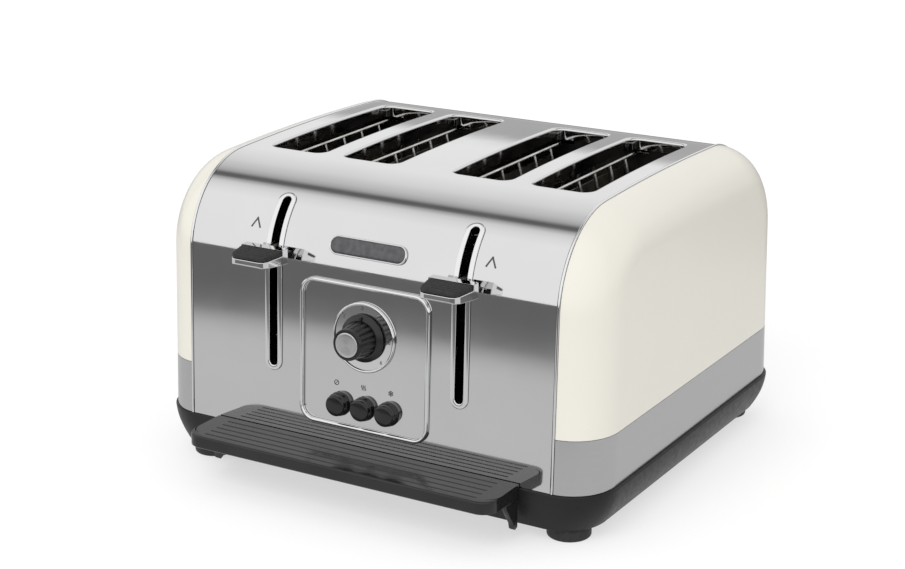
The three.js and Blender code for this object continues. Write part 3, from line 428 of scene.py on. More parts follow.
class WrapMap:
    """Carries flat (across, along) places onto the wrap; along starts at the front's lower edge."""

    def __init__(self):
        self.points, self.normals = body_outline(straight=40, bend=160, crown=80)
        steps = np.linalg.norm(np.diff(self.points, axis=0), axis=1)
        self.along = np.concatenate([[0], np.cumsum(steps)])
        self.length = self.along[-1]
        self.front = len(self.along) // 2

    def from_y(self, y):
        """Distance along for a place on the wrap at depth y."""
        return np.interp(y, self.points[:, 0], self.along)

    def from_height(self, z):
        """Distance along for a place on the front half at height z."""
        return np.interp(z, self.points[: self.front, 1], self.along[: self.front])

    def place(self, across, along, out=0.0):
        """Scene points at a height above the wrap."""
        y = np.interp(along, self.along, self.points[:, 0])
        z = np.interp(along, self.along, self.points[:, 1])
        n_y, n_z = self.normal(along)
        return np.stack([across + 0 * y, y + out * n_y, z + out * n_z], axis=-1)

    def normal(self, along):
        """The wrap's normal (y, z) at a distance along."""
        n_y = np.interp(along, self.along, self.normals[:, 0])
        n_z = np.interp(along, self.along, self.normals[:, 1])
        size = np.hypot(n_y, n_z)
        return n_y / size, n_z / size


def on_face(across, up, out):
    """Scene points from places on the leaning front: across, up the face and straight out of it."""
    lean = body_sizes().face_lean
    y = WRAP_LOW[1] + up * math.sin(lean) - out * math.cos(lean)
    z = WRAP_LOW[2] + up * math.cos(lean) + out * math.sin(lean)
    return np.stack(np.broadcast_arrays(across, y, z), axis=-1)


def face_up(point_z):
    """How far up the leaning front a height lies."""
    return (point_z - WRAP_LOW[2]) / math.cos(body_sizes().face_lean)


# ---------- materials ----------


class Finish:
    """A procedural material; its patterns lie on Object coordinates, in metres."""

    def __init__(self, name, colour, roughness, metallic=0.0):
        self.material = bpy.data.materials.new(name)
        self.material.use_nodes = True
        self.nodes = self.material.node_tree.nodes
        self.links = self.material.node_tree.links
        self.shader = self.nodes["Principled BSDF"]
        self.shader.inputs["Base Color"].default_value = (*colour, 1)
        self.shader.inputs["Roughness"].default_value = roughness
        self.shader.inputs["Metallic"].default_value = metallic
        self.coords = self.nodes.new("ShaderNodeTexCoord").outputs["Object"]

    def noise(self, scale, detail=3.0, stretch=None):
        """A noise value; stretch multiplies the scale along each axis."""
        texture = self.nodes.new("ShaderNodeTexNoise")
        texture.inputs["Scale"].default_value = scale
        texture.inputs["Detail"].default_value = detail
        source = self.coords
        if stretch:
            mapping = self.nodes.new("ShaderNodeMapping")
            mapping.inputs["Scale"].default_value = stretch
            self.links.new(source, mapping.inputs["Vector"])
            source = mapping.outputs["Vector"]
        self.links.new(source, texture.inputs["Vector"])
        return texture.outputs["Fac"]

    def vary_roughness(self, value, low, high):
        """Roughness runs between two values with a pattern."""
        spread = self.nodes.new("ShaderNodeMapRange")
        spread.inputs["From Min"].default_value = 0.3
        spread.inputs["From Max"].default_value = 0.7
        spread.inputs["To Min"].default_value = low
        spread.inputs["To Max"].default_value = high
        self.links.new(value, spread.inputs["Value"])
        self.links.new(spread.outputs["Result"], self.shader.inputs["Roughness"])
        return self

    def vary_colour(self, value, first, second, span=(0.35, 0.65)):
        """Colour runs between two colours with a pattern."""
        ramp = self.nodes.new("ShaderNodeValToRGB")
        ramp.color_ramp.elements[0].position = span[0]
        ramp.color_ramp.elements[1].position = span[1]
        ramp.color_ramp.elements[0].color = (*first, 1)
        ramp.color_ramp.elements[1].color = (*second, 1)
        self.links.new(value, ramp.inputs["Fac"])
        self.links.new(ramp.outputs["Color"], self.shader.inputs["Base Color"])
        return self

    def bump(self, value, strength, depth):
        """Fine relief of a given depth in metres."""
        relief = self.nodes.new("ShaderNodeBump")
        relief.inputs["Strength"].default_value = strength
        relief.inputs["Distance"].default_value = depth
        self.links.new(value, relief.inputs["Height"])
        self.links.new(relief.outputs["Normal"], self.shader.inputs["Normal"])
        return self

    def coat(self, weight, roughness):
        self.shader.inputs["Coat Weight"].default_value = weight
        self.shader.inputs["Coat Roughness"].default_value = roughness
        return self


_finishes = {}


def shade(colour, factor):
    """A colour made lighter or darker."""
    return tuple(min(1.0, channel * factor) for channel in colour)


# Each finish: its colour or the name of a user colour, roughness and metalness, then its patterns.
# A pattern says what it drives, its noise (scale, detail, stretch) and the two values it runs between:
# "tint" takes factors of the colour or two colours, "rough" two roughnesses, "relief" strength and mm.
PATTERNS = {
    "polished_steel": (
        "polished_steel", 0.06, 1.0,
        ("rough", (60, 4), 0.045, 0.085), ("tint", (18, 2), 0.985, 1.01),
    ),
    "satin_steel": (
        "satin_steel", 0.22, 1.0,
        ("rough", (1.0, 5, (60, 60, 4200)), 0.19, 0.25),
        ("tint", (1.0, 5, (60, 60, 4200)), 0.985, 1.015),
        ("relief", (1.0, 5, (60, 60, 4200)), 0.04, 0.01),
    ),
    "chrome": ("chrome", 0.05, 1.0, ("rough", (120, 3), 0.035, 0.08)),
    "cream_paint": (
        "cream", 0.36, 0.0,
        ("tint", (9, 3), 0.985, 1.012), ("rough", (200, 2), 0.33, 0.40), ("relief", (900, 2), 0.12, 0.03),
    ),
    "black_plastic": (
        "plastic", 0.4, 0.0,
        ("tint", (35, 3), 0.85, 1.25), ("rough", (300, 3), 0.33, 0.45), ("relief", (2600, 2), 0.25, 0.03),
    ),
    "ledge_plastic": (
        "plastic", 0.2, 0.0,
        ("tint", (35, 3), 0.85, 1.2), ("rough", (220, 3), 0.15, 0.24), ("relief", (2600, 2), 0.1, 0.015),
    ),
    "gloss_black": ("gloss", 0.16, 0.0, ("rough", (160, 3), 0.12, 0.2), ("tint", (60, 2), 0.8, 1.3)),
    "knob_plastic": ("gloss", 0.3, 0.0, ("rough", (400, 3), 0.26, 0.36), ("relief", (3200, 2), 0.15, 0.02)),
    "rubber": (
        "rubber", 0.62, 0.0,
        ("tint", (500, 4), 0.8, 1.3), ("rough", (400, 3), 0.52, 0.68), ("relief", (2200, 3), 0.35, 0.05),
    ),
    "chassis_steel": (
        (0.30, 0.29, 0.27), 0.4, 1.0,
        ("tint", (40, 5), (0.20, 0.185, 0.165), (0.36, 0.35, 0.335)), ("rough", (90, 4), 0.3, 0.55),
    ),
    "tray_steel": (
        (0.52, 0.515, 0.50), 0.3, 1.0,
        ("tint", (1.0, 4, (30, 1800, 30)), (0.49, 0.485, 0.47), (0.55, 0.545, 0.53)),
        ("rough", (1.0, 4, (30, 1800, 30)), 0.25, 0.34),
    ),
    "wire_steel": (
        (0.60, 0.59, 0.57), 0.28, 1.0,
        ("tint", (70, 4), (0.45, 0.43, 0.40), (0.70, 0.69, 0.67)), ("rough", (300, 3), 0.2, 0.38),
    ),
    "sooty_steel": ("sooty", 0.5, 1.0, ("tint", (50, 5), 0.55, 1.2), ("rough", (120, 4), 0.4, 0.65)),
    "mica": (
        (0.06, 0.054, 0.046), 0.5, 0.0,
        ("tint", (160, 6), (0.03, 0.027, 0.022), (0.08, 0.072, 0.06)),
        ("rough", (160, 6), 0.3, 0.65), ("relief", (160, 6), 0.3, 0.08),
    ),
    "circuit_board": (
        (0.02, 0.12, 0.05), 0.35, 0.0,
        ("tint", (220, 2), (0.012, 0.09, 0.035), (0.03, 0.16, 0.07)), ("relief", (700, 2), 0.2, 0.03),
    ),
    "badge_enamel": (
        (0.10, 0.10, 0.105), 0.3, 0.6,
        ("tint", (300, 2), (0.085, 0.085, 0.09), (0.115, 0.115, 0.12)), ("rough", (260, 3), 0.24, 0.36),
    ),
    "print_ink": (
        (0.06, 0.06, 0.06), 0.5, 0.0,
        ("tint", (700, 2), (0.05, 0.05, 0.05), (0.075, 0.075, 0.075)),
    ),
}


def patterned(name):
    """A finish from the table of patterns."""
    colour, roughness, metallic, *patterns = PATTERNS[name]
    if isinstance(colour, str):
        colour = tuple(getattr(colours(), colour))
    finish = Finish(name, colour, roughness, metallic)
    for drives, noise, first, second in patterns:
        value = finish.noise(*noise)
        if drives == "rough":
            finish.vary_roughness(value, first, second)
        elif drives == "relief":
            finish.bump(value, first, second * MM)
        elif isinstance(first, tuple):
            finish.vary_colour(value, first, second)
        else:
            finish.vary_colour(value, shade(colour, first), shade(colour, second))
    return finish


def spun_metal():
    """Concentric machining marks on the knob's cap: rings that run round its own axis."""
    finish = Finish("spun_metal", (0.62, 0.62, 0.63), 0.28, 1.0)
    finish.shader.inputs["Anisotropic"].default_value = 0.75
    centre = (box("knob_cap")[0] + box("knob_cap")[1]) / 2
    mapping = finish.nodes.new("ShaderNodeMapping")
    mapping.vector_type = "TEXTURE"
    mapping.inputs["Location"].default_value = centre
    mapping.inputs["Rotation"].default_value = (math.pi / 2 - body_sizes().face_lean, 0, 0)
    finish.links.new(finish.coords, mapping.inputs["Vector"])
    rings = finish.nodes.new("ShaderNodeTexWave")
    rings.wave_type = "RINGS"
    rings.rings_direction = "Z"
    rings.inputs["Scale"].default_value = 900
    rings.inputs["Distortion"].default_value = 0.6
    finish.links.new(mapping.outputs["Vector"], rings.inputs["Vector"])
    finish.vary_roughness(rings.outputs["Fac"], 0.2, 0.34)
    tangent = finish.nodes.new("ShaderNodeTangent")
    tangent.direction_type = "UV_MAP"
    tangent.uv_map = "round"
    finish.links.new(tangent.outputs["Tangent"], finish.shader.inputs["Tangent"])
    return finish.bump(rings.outputs["Fac"], 0.2, 0.01 * MM)


def copper_coil():
    """Windings: fine bands of wire one over the other."""
    finish = Finish("copper_coil", (0.62, 0.30, 0.16), 0.35, 1.0)
    wave = finish.nodes.new("ShaderNodeTexWave")
    wave.bands_direction = "Z"
    wave.inputs["Scale"].default_value = 500
    finish.links.new(finish.coords, wave.inputs["Vector"])
    finish.vary_colour(wave.outputs["Fac"], (0.40, 0.17, 0.08), (0.72, 0.38, 0.22))
    return finish.bump(wave.outputs["Fac"], 0.4, 0.1 * MM)


def finish_of(name):
    """The material of a finish, built once."""
    if name not in _finishes:
        special = {"spun_metal": spun_metal, "copper_coil": copper_coil}
        finish = special[name]() if name in special else patterned(name)
        if name == "cream_paint":
            finish.coat(0.35, 0.22)
        if name == "black_plastic":
            finish.shader.inputs["Specular IOR Level"].default_value = 0.28
        _finishes[name] = finish.material
    return _finishes[name]


# ---------- the wrap ----------


def slot_places():
    """Middle (x, y) of each bread slot: halfway between two heater boards."""
    places = []
    for side, _ in SIDES:
        low, high = box(f"{side}_middle_heater_board")
        pitch = box(f"{side}_outer_heater_board")[0][0] - low[0]
        x, y = (low[0] + high[0]) / 2, (low[1] + high[1]) / 2
        places.extend((x + half * pitch, y) for half in (-0.5, 0.5))
    return places


def lever_cuts():
    """Lever slots in the wrap as (x, low z, high z)."""
    cuts = []
    for side, _ in SIDES:
        low, high = box(f"{side}_slot_trim")
        cuts.append(((low[0] + high[0]) / 2, low[2] + LEVER_SLOT_END, high[2] - LEVER_SLOT_END))
    return cuts


def wrap_domain(wrap, half_width, holes):
    """Flat triangles that fill the wrap's rectangle and leave the holes open.

    Inner points stand in rows across, closer together where the wrap bends."""
    edge_x = np.linspace(-half_width, half_width, 27)
    rows = np.unique(
        np.concatenate(
            [
                np.linspace(0, wrap.length, 45),
                wrap.from_height(np.linspace(0.125, 0.196, 46)),
                wrap.length - wrap.from_height(np.linspace(0.125, 0.196, 46)),
                wrap.from_y(CENTRE_Y + np.linspace(-0.1, 0.1, 26)),
            ]
        ).round(6)
    )
    rows = rows[np.concatenate([[True], np.diff(rows) > 0.0011])]
    rows[-1] = wrap.length
    border = np.concatenate(
        [
            np.stack([edge_x[:-1], np.zeros(26)], 1),
            np.stack([np.full(len(rows) - 1, half_width), rows[:-1]], 1),
            np.stack([edge_x[:0:-1], np.full(26, wrap.length)], 1),
            np.stack([np.full(len(rows) - 1, -half_width), rows[:0:-1]], 1),
        ]
    )
    across, along = np.meshgrid(edge_x[1:-1], rows[1:-1])
    inner = np.stack([across.ravel(), along.ravel()], 1)
    for hole in holes:
        low, high = hole.min(0) - 1.2 * MM, hole.max(0) + 1.2 * MM
        inner = inner[~((inner > low) & (inner < high)).all(1)]
    points = np.concatenate([border, inner, *holes])
    edges, start = [], 0
    for loop, beyond in [(border, len(inner)), *((hole, 0) for hole in holes)]:
        edges.extend((start + i, start + (i + 1) % len(loop)) for i in range(len(loop)))
        start += len(loop) + beyond
    result = delaunay_2d_cdt([Vector(p) for p in points], edges, [], 0, 1e-7)
    flat = np.array([tuple(v) for v in result[0]])
    faces = np.array([tuple(f) for f in result[2]])
    middle = flat[faces].mean(1)
    keep = np.ones(len(faces), bool)
    for hole in holes:
        keep &= ~inside_loop(middle, hole)
    return flat, faces[keep]


def inside_loop(points, loop):
    """True for points inside a closed loop: an odd number of its sides lies to their right."""
    following = np.roll(loop, -1, axis=0)
    px, py = points[:, 0][:, None], points[:, 1][:, None]
    crosses = (loop[:, 1] > py) != (following[:, 1] > py)
    rise = np.where(np.abs(following[:, 1] - loop[:, 1]) < 1e-12, 1e-12, following[:, 1] - loop[:, 1])
    meet = loop[:, 0] + (py - loop[:, 1]) * (following[:, 0] - loop[:, 0]) / rise
    return (crosses & (px < meet)).sum(1) % 2 == 1


def face_place(node):
    """Where a node's middle lies on the leaning front, as (across, up)."""
    low, high = box(node)
    lean = body_sizes().face_lean
    middle = (low + high) / 2 - np.array([0, WRAP_LOW[1], WRAP_LOW[2]])
    return middle[0], middle[1] * math.sin(lean) + middle[2] * math.cos(lean)


def panel_holes():
    """Round holes in the front for the dial's shaft and the three buttons, as flat loops."""
    loops = []
    rooms = {"knob_shaft": 1.0 * MM}
    rooms.update((f"{button}_button", -0.7 * MM) for button in MARKS_ACROSS)
    for node, room in rooms.items():
        low, high = box(node)
        radius = (high[0] - low[0]) / 2 + room
        loops.append(arc(0, 360, radius, 28, face_place(node))[:-1])
    return loops


class TOASTER_OT_wrap(bpy.types.Operator):
    """Builds the bent steel wrap with its turned bread slots, and the four turned slot walls"""

    bl_idname = "toaster.wrap"
    bl_label = "Steel wrap"

    def execute(self, context):
        sizes = body_sizes()
        wrap = WrapMap()
        holes, lips = [], []
        lip = sizes.slot_lip
        for x, y in slot_places():
            outline, normals = rounded_rect(
                sizes.slot_width + 2 * lip, sizes.slot_length + 2 * lip, sizes.slot_corner + lip, 10
            )
            outline = resampled(outline, 5 * MM)
            loop = np.stack([x + outline[:, 0], wrap.from_y(y + outline[:, 1])], 1)
            holes.append(loop)
            lips.append((x, y, outline))
        for x, low, high in lever_cuts():
            ends = wrap.from_height(np.array([low, high]))
            outline, _ = rounded_rect(2 * LEVER_SLOT_HALF, ends[1] - ends[0], LEVER_SLOT_HALF * 0.98, 8)
            outline = resampled(outline, 6 * MM)
            holes.append(outline + np.array([x, ends.mean()]))
        holes += panel_holes()
        flat, faces = wrap_domain(wrap, HALF_WIDTH, holes)
        points = wrap.place(flat[:, 0], flat[:, 1])
        n_y, n_z = wrap.normal(flat[:, 1])
        normals = np.stack([np.zeros(len(flat)), n_y, n_z], 1)
        winding = np.cross(
            points[faces[:, 1]] - points[faces[:, 0]], points[faces[:, 2]] - points[faces[:, 0]]
        )
        facing = (winding * normals[faces[:, 0]]).sum(1) < 0
        faces[facing] = faces[facing][:, ::-1]
        mesh = thick_mesh("steel_wrap_skin", points, normals, faces.tolist(), sizes.sheet)
        metal = finish_of("polished_steel")
        add_piece("steel_wrap_skin", mesh, metal, "housing", ["steel_wrap"], "polished_steel")
        for index, (x, y, outline) in enumerate(lips):
            mesh = slot_wall(wrap, x, y, outline, sizes)
            add_piece(f"bread_slot_wall_{index + 1}", mesh, metal, "housing")
        return {"FINISHED"}


def slot_wall(wrap, x, y, outline, sizes):
    """A turned slot edge: a quarter round that starts in the wrap and runs into an upright wall.

    The wall is closed by a second skin one sheet thickness further out."""
    following, before = np.roll(outline, -1, axis=0), np.roll(outline, 1, axis=0)
    tangent = following - before
    tangent /= np.linalg.norm(tangent, axis=1, keepdims=True)
    inward = np.stack([-tangent[:, 1], tangent[:, 0]], 1)
    top_z = np.interp(y + outline[:, 1], wrap.points[:, 0], wrap.points[:, 1])
    foot_z = top_z.min() - sizes.slot_flange + 1.2 * MM
    lip, sheet = sizes.slot_lip, sizes.sheet
    turn = np.linspace(0, math.pi / 2, 7)

    def ring(inset, z):
        plan = (x, y) + outline + inset * inward
        return np.stack([plan[:, 0], plan[:, 1], z + 0 * top_z], 1)

    inner_lip = lip - sheet
    outer = [ring(lip * math.sin(a), top_z - lip * (1 - math.cos(a)) + 0.04 * MM) for a in turn]
    outer += [ring(lip, (foot_z + top_z.min() - lip) / 2), ring(lip, foot_z)]
    inner = [ring(inner_lip, foot_z)]
    for angle in turn[::-1]:
        drop = sheet + inner_lip * (1 - math.cos(angle))
        inner.append(ring(inner_lip * math.sin(angle), top_z - drop))
    return loop_mesh(np.array(outer + inner), "bread_slot_wall", 50)


# ---------- the ends ----------


def end_reach(side):
    """Where the end starts at the seam and how far its flat side stands beyond it."""
    cover = box(f"{side}_end_cover")
    flat = max(abs(cover[0][0]), abs(cover[1][0]))
    return HALF_WIDTH, flat - HALF_WIDTH


def quarter_turn(reach, start, steps=30):
    """Angles of the end's quarter ellipse, from the place where the cover starts to its flat side."""
    return np.linspace(math.acos(start / reach), 0, steps)


def end_ring(side, angle, low, **steps):
    """One ring of an end: the body's outline drawn in by a quarter ellipse, with its normals."""
    seam, reach = end_reach(side)
    rounding = body_sizes().end_round
    sign = dict(SIDES)[side]
    outline, flat = body_outline(inset=rounding * (1 - math.sin(angle)), low=low, **steps)
    lean_out, lean_in = rounding * math.cos(angle), reach * math.sin(angle)
    size = math.hypot(lean_out, lean_in)
    x = np.full(len(outline), sign * (seam + reach * math.cos(angle)))
    normal_x = np.full(len(outline), sign * lean_out / size)
    points = np.stack([x, outline[:, 0], outline[:, 1]], 1)
    normals = np.stack([normal_x, flat[:, 0] * lean_in / size, flat[:, 1] * lean_in / size], 1)
    return points, normals


def wound_outwards(points, normals, faces):
    """Turns each face so that it looks the way its normals do."""
    made = []
    for face in faces:
        a, b, c = points[face[0]], points[face[1]], points[face[2]]
        made.append(list(face) if np.dot(np.cross(b - a, c - a), normals[face[1]]) > 0 else list(face)[::-1])
    return made


def cover_mesh(side):
    """Painted end cover: rings of the body's outline on a quarter ellipse, closed by the flat side."""
    low = box(f"{side}_end_cover")[0][2]
    rings = [end_ring(side, angle, low) for angle in quarter_turn(end_reach(side)[1], COVER_START)]
    points = np.concatenate([ring[0] for ring in rings])
    normals = np.concatenate([ring[1] for ring in rings])
    columns = len(rings[0][0])
    faces = grid_faces(len(rings), columns).tolist()
    last = (len(rings) - 1) * columns
    half = columns // 2
    faces += [[last + i, last + i + 1, last + columns - 2 - i, last + columns - 1 - i] for i in range(half)]
    faces = [list(dict.fromkeys(face)) for face in faces]
    faces = wound_outwards(points, normals, [face for face in faces if len(face) > 2])
    return thick_mesh(f"{side}_cover", points, normals, faces, body_sizes().cover_wall)


def band_mesh(side):
    """Lower steel band: the end's plan outline from the front seam round the flat side to the back seam."""
    low, high = box(f"{side}_lower_band")
    angles = quarter_turn(end_reach(side)[1], COVER_START, 24)
    rows_p, rows_n = [], []
    for z in np.linspace(low[2], high[2], 8):
        front_p, front_n, back_p, back_n = [], [], [], []
        for angle in angles:
            points, normals = end_ring(side, angle, z, straight=1, bend=1, crown=1)
            front_p.append(points[0])
            front_n.append(normals[0])
            back_p.append(points[-1])
            back_n.append(normals[-1])
        rows_p.append(front_p + back_p[::-1])
        rows_n.append(front_n + back_n[::-1])
    points = np.array(rows_p).reshape(-1, 3)
    normals = np.array(rows_n).reshape(-1, 3)
    faces = wound_outwards(points, normals, grid_faces(len(rows_p), len(rows_p[0])).tolist())
    return thick_mesh(f"{side}_band", points, normals, faces, body_sizes().cover_wall)


def seam_mesh(side):
    """Bright bead on the seam: a small rounded section carried along the body's outline."""
    low, high = box(f"{side}_seam_trim")
    middle, half = (low[0] + high[0]) / 2, (high[0] - low[0]) / 2
    proud, sunk = 0.7 * MM, -1.4 * MM
    turn = np.linspace(0, math.pi, 9)
    section = [(middle + half * math.cos(a), proud * (math.sin(a) ** 0.7)) for a in turn]
    section += [(low[0], sunk), (high[0], sunk)]
    rings = []
    for x, out in section:
        outline, _ = body_outline(inset=-out)
        rings.append(np.concatenate([np.full((len(outline), 1), x), outline], 1))
    return bar_mesh(np.array(rings).transpose(1, 0, 2), f"{side}_seam", 50)


class TOASTER_OT_ends(bpy.types.Operator):
    """Builds both painted end covers, their lower steel bands and the bright seam beads"""

    bl_idname = "toaster.ends"
    bl_label = "End covers"

    def execute(self, context):
        for side, _ in SIDES:
            parts = (
                ("end_cover", cover_mesh, "cream_paint", "cream_paint"),
                ("lower_band", band_mesh, "satin_steel", "satin_steel"),
                ("seam_trim", seam_mesh, "chrome", "chrome_trim"),
            )
            for node, build, finish, slot in parts:
                name = f"{side}_{node}"
                add_piece(f"{name}_skin", build(side), finish_of(finish), "housing", [name], slot)
        return {"FINISHED"}


# ---------- base and ledge ----------


def carve(mesh, cutters):
    """The mesh less a list of closed cutter meshes."""
    collection = bpy.context.scene.collection
    target = bpy.data.objects.new("blank", mesh)
    collection.objects.link(target)
    helpers = []
    for cutter in cutters:
        helper = bpy.data.objects.new("cutter", cutter)
        collection.objects.link(helper)
        modifier = target.modifiers.new("cut", "BOOLEAN")
        modifier.object = helper
        modifier.solver = "EXACT"
        helpers.append(helper)
    graph = bpy.context.evaluated_depsgraph_get()
    made = bpy.data.meshes.new_from_object(target.evaluated_get(graph))
    for item in [target, *helpers]:
        bpy.data.objects.remove(item)
    return made


def base_ring(low, high, z, inset, corner):
    """One ring of the base: its plan outline drawn in by (x, y) insets at a height."""
    width, depth = high[0] - low[0] - 2 * inset[0], high[1] - low[1] - 2 * inset[1]
    outline, _ = rounded_rect(width, depth, corner, 14)
    centre = (low + high) / 2
    return np.stack([centre[0] + outline[:, 0], centre[1] + outline[:, 1], np.full(len(outline), z)], 1)


BASE_CREASE = 42


def base_mesh():
    """Moulded base: rings from the rim down the tucked skirt, in under the floor and back up inside."""
    low, high = box("base_moulding")
    foot_low, foot_high = box("front_left_foot")
    rim, bottom = high[2], low[2]
    floor_top = bottom + 4 * MM
    wall = 2.4 * MM
    rings = []

    def skirt(down, extra=0.0):
        tuck = down**1.8
        inset = (10.3 * MM * tuck + extra, 6 * MM * tuck + extra)
        return base_ring(low, high, rim + (bottom - rim) * down, inset, 32 * MM - 6 * MM * tuck - extra * 0.6)

    def with_z(ring, z):
        ring = ring.copy()
        ring[:, 2] = z
        return ring

    edge = 0.8 * MM
    for turn in np.linspace(0, math.pi / 2, 5):
        rings.append(with_z(skirt(0.0, edge * (1 - math.sin(turn))), rim - edge * (1 - math.cos(turn))))
    rings += [skirt(down) for down in np.linspace(0.06, 0.95, 14)]
    for turn in np.linspace(0, math.pi / 2, 5):
        extra = 1.2 * MM * (1 - math.cos(turn))
        rings.append(with_z(skirt(1.0, extra), bottom + 1.2 * MM * (1 - math.sin(turn))))
    half_x = (foot_high[0] + foot_low[0]) / -2 - 18.5 * MM
    half_y = half_x - 15 * MM
    inset = ((high[0] - low[0]) / 2 - half_x, (high[1] - low[1]) / 2 - half_y)
    for z in (bottom, floor_top):
        rings.append(base_ring(low, high, z, inset, 6 * MM))
    rings += [with_z(skirt(0.85, wall), floor_top), skirt(0.5, wall), with_z(skirt(0.0, wall), rim)]
    return loop_mesh(np.array(rings), "base", BASE_CREASE)


class TOASTER_OT_base(bpy.types.Operator):
    """Builds the moulded base with its notch for the crumb tray and its round cord opening, and the feet"""

    bl_idname = "toaster.base"
    bl_label = "Base and feet"

    def execute(self, context):
        low, high = box("base_moulding")
        tray_low, tray_high = box("crumb_tray")
        inlet_low, inlet_high = box("cord_inlet")
        side_room = 2.2 * MM
        notch = rounded_block(
            (tray_low[0] - side_room, low[1] - 5 * MM, tray_low[2] - 1.0 * MM),
            (tray_high[0] + side_room, low[1] + 20 * MM, high[2] + 5 * MM),
            0.5 * MM,
        )
        inlet_x, inlet_z = (inlet_low[0] + inlet_high[0]) / 2, (inlet_low[2] + inlet_high[2]) / 2

        def rearwards(x, up, out):
            return np.stack(np.broadcast_arrays(inlet_x + x, high[1] - 40 * MM + out, inlet_z + up), axis=-1)

        bore = turned(np.array([(9.6, 0), (9.6, 60)]) * MM, 40, rearwards)
        made = carve(base_mesh(), [bar_mesh(notch, "notch"), bar_mesh(bore, "bore")])
        made.shade_smooth()
        made.set_sharp_from_angle(angle=math.radians(BASE_CREASE))
        plastic, black_rubber = finish_of("black_plastic"), finish_of("rubber")
        add_piece("base_skin", made, plastic, "housing", ["base_moulding"], "black_plastic")
        for end in ("front", "rear"):
            for side, _ in SIDES:
                name = f"{end}_{side}_foot"
                add_piece(f"{name}_pad", foot_mesh(name), black_rubber, "housing", [name], "foot_rubber")
        return {"FINISHED"}


def foot_mesh(name):
    """Round rubber foot: a turned profile with a rounded lower edge and a dished underside."""
    low, high = box(name)
    radius, tall = (high[0] - low[0]) / 2, high[2] - low[2]
    axis, bevel, dish = 0.1 * MM, 0.4 * MM, 0.5 * MM
    upper = [(axis, tall), (radius - bevel, tall), (radius, tall - bevel)]
    round_edge = arc(0, -90, 1.5 * MM, 6, (radius - 1.5 * MM, 1.5 * MM))
    underside = [(radius - 3 * MM, 0), (radius - 4 * MM, dish), (axis, dish)]
    profile = np.concatenate([upper, round_edge, underside])
    centre = (low + high) / 2

    def upright(x, up, out):
        return np.stack(np.broadcast_arrays(centre[0] + x, centre[1] + up, low[2] + out), axis=-1)

    return bar_mesh(turned(profile, 48, upright), name, 45)


def ledge_section(low, high, rim_y, sizes, grooves, edge):
    """Section (y, z) of the ledge from its lower back corner, over the rim and the grooved top, to the front.

    Returns the points and how deep each is sunk where the grooves run."""
    back, front, top = high[1], low[1], high[2]
    points = [(rim_y, low[2]), (rim_y, top - 2.1 * MM), (back, top - 2.1 * MM), (back, top - 0.2 * MM)]
    points += [(back - 0.2 * MM, top)]
    sunk = [0] * 5
    half = sizes.groove_width / 2
    groove = ((1.0, 0), (0.8, 0.3), (0.5, 0.9), (0.0, 1.0), (-0.5, 0.9), (-0.8, 0.3), (-1.0, 0))
    for y in back + (front - back) * (np.arange(grooves) + 1) / (grooves + 1):
        for step, depth in groove:
            points.append((y + step * half, top))
            sunk.append(depth * sizes.groove_depth)
    for turn in np.linspace(0, math.pi / 2, 8):
        points.append((front + edge * (1 - math.sin(turn)), top - edge * (1 - math.cos(turn))))
        sunk.append(0)
    points += [(front, low[2] + 0.6 * MM), (front + 0.6 * MM, low[2])]
    return np.array(points), np.array(sunk + [0, 0])


def ledge_mesh():
    """The ledge: its section carried across, with round front corners and grooves that stop short of them."""
    low, high = box("crumb_tray_handle")
    rim_y = box("ledge_support")[1][1] - 0.1 * MM
    half, corner, edge, groove_half = high[0], 10 * MM, 1.3 * MM, high[0] - 12 * MM
    section, sunk = ledge_section(low, high, rim_y, fittings(), 5, edge)
    straight_y = high[1] - 3 * MM
    side = half - corner + corner * np.sin(np.linspace(0, math.pi / 2, 16))
    right = np.concatenate(
        [np.linspace(0, groove_half, 12), [groove_half + 0.5 * MM], side[side > groove_half + MM]]
    )
    stations = np.concatenate([-right[:0:-1], right])
    reach = np.abs(stations) - (half - corner)
    back_off = corner - np.sqrt(np.maximum(corner**2 - np.maximum(reach, 0) ** 2, 0))
    share = np.clip((straight_y - section[:, 0]) / (straight_y - low[1]), 0, 1)
    near_front = np.clip((low[1] + 4 * edge - section[:, 0]) / (4 * edge), 0, 1)
    y = section[:, 0][None] + back_off[:, None] * np.where(near_front > 0, 1.0, share**2)[None]
    y = np.where(section[:, 0][None] < straight_y, np.minimum(y, straight_y), section[:, 0][None])
    depth = np.where(np.abs(stations)[:, None] <= groove_half + 1e-9, sunk[None], 0.0)
    grid = np.stack([stations[:, None] + 0 * y, y, section[:, 1][None] - depth], axis=-1)
    return bar_mesh(grid, "ledge", 38)


def support_meshes():
    """The bar under the ledge and the hanging bracket at each of its ends."""
    low, high = box("ledge_support")
    wall = 3.4 * MM
    bar_low = (low[0] + wall, high[1] - 2.6 * MM, low[2] + 14 * MM)
    grids = [rounded_block(bar_low, (high[0] - wall, high[1], high[2]), 0.3 * MM)]
    back, foot, top = high[1], low[2], high[2]
    knee = foot + 15 * MM
    corners = [(low[1], top), (low[1] + 0.6 * MM, knee + 2 * MM), (low[1] + 4 * MM, knee - 3.5 * MM)]
    corners += [(back - 5.4 * MM, foot + 5 * MM), (back - 4.4 * MM, foot + 1.2 * MM), (back - 2.6 * MM, foot)]
    outline = np.array(corners + [(back, foot + 1 * MM), (back, top)])
    middle, edge = outline.mean(0), 0.4 * MM
    reach = outline - middle
    size = np.linalg.norm(reach, axis=1, keepdims=True)
    for _, sign in SIDES:
        rings = []
        for depth, inset in ((0, edge), (edge, 0), (wall - edge, 0), (wall, edge)):
            ring = middle + reach * (1 - inset / size)
            rings.append(np.concatenate([np.full((len(ring), 1), sign * (high[0] - depth)), ring], 1))
        grids.append(np.array(rings))
    return [bar_mesh(grid, "support", 30) for grid in grids]


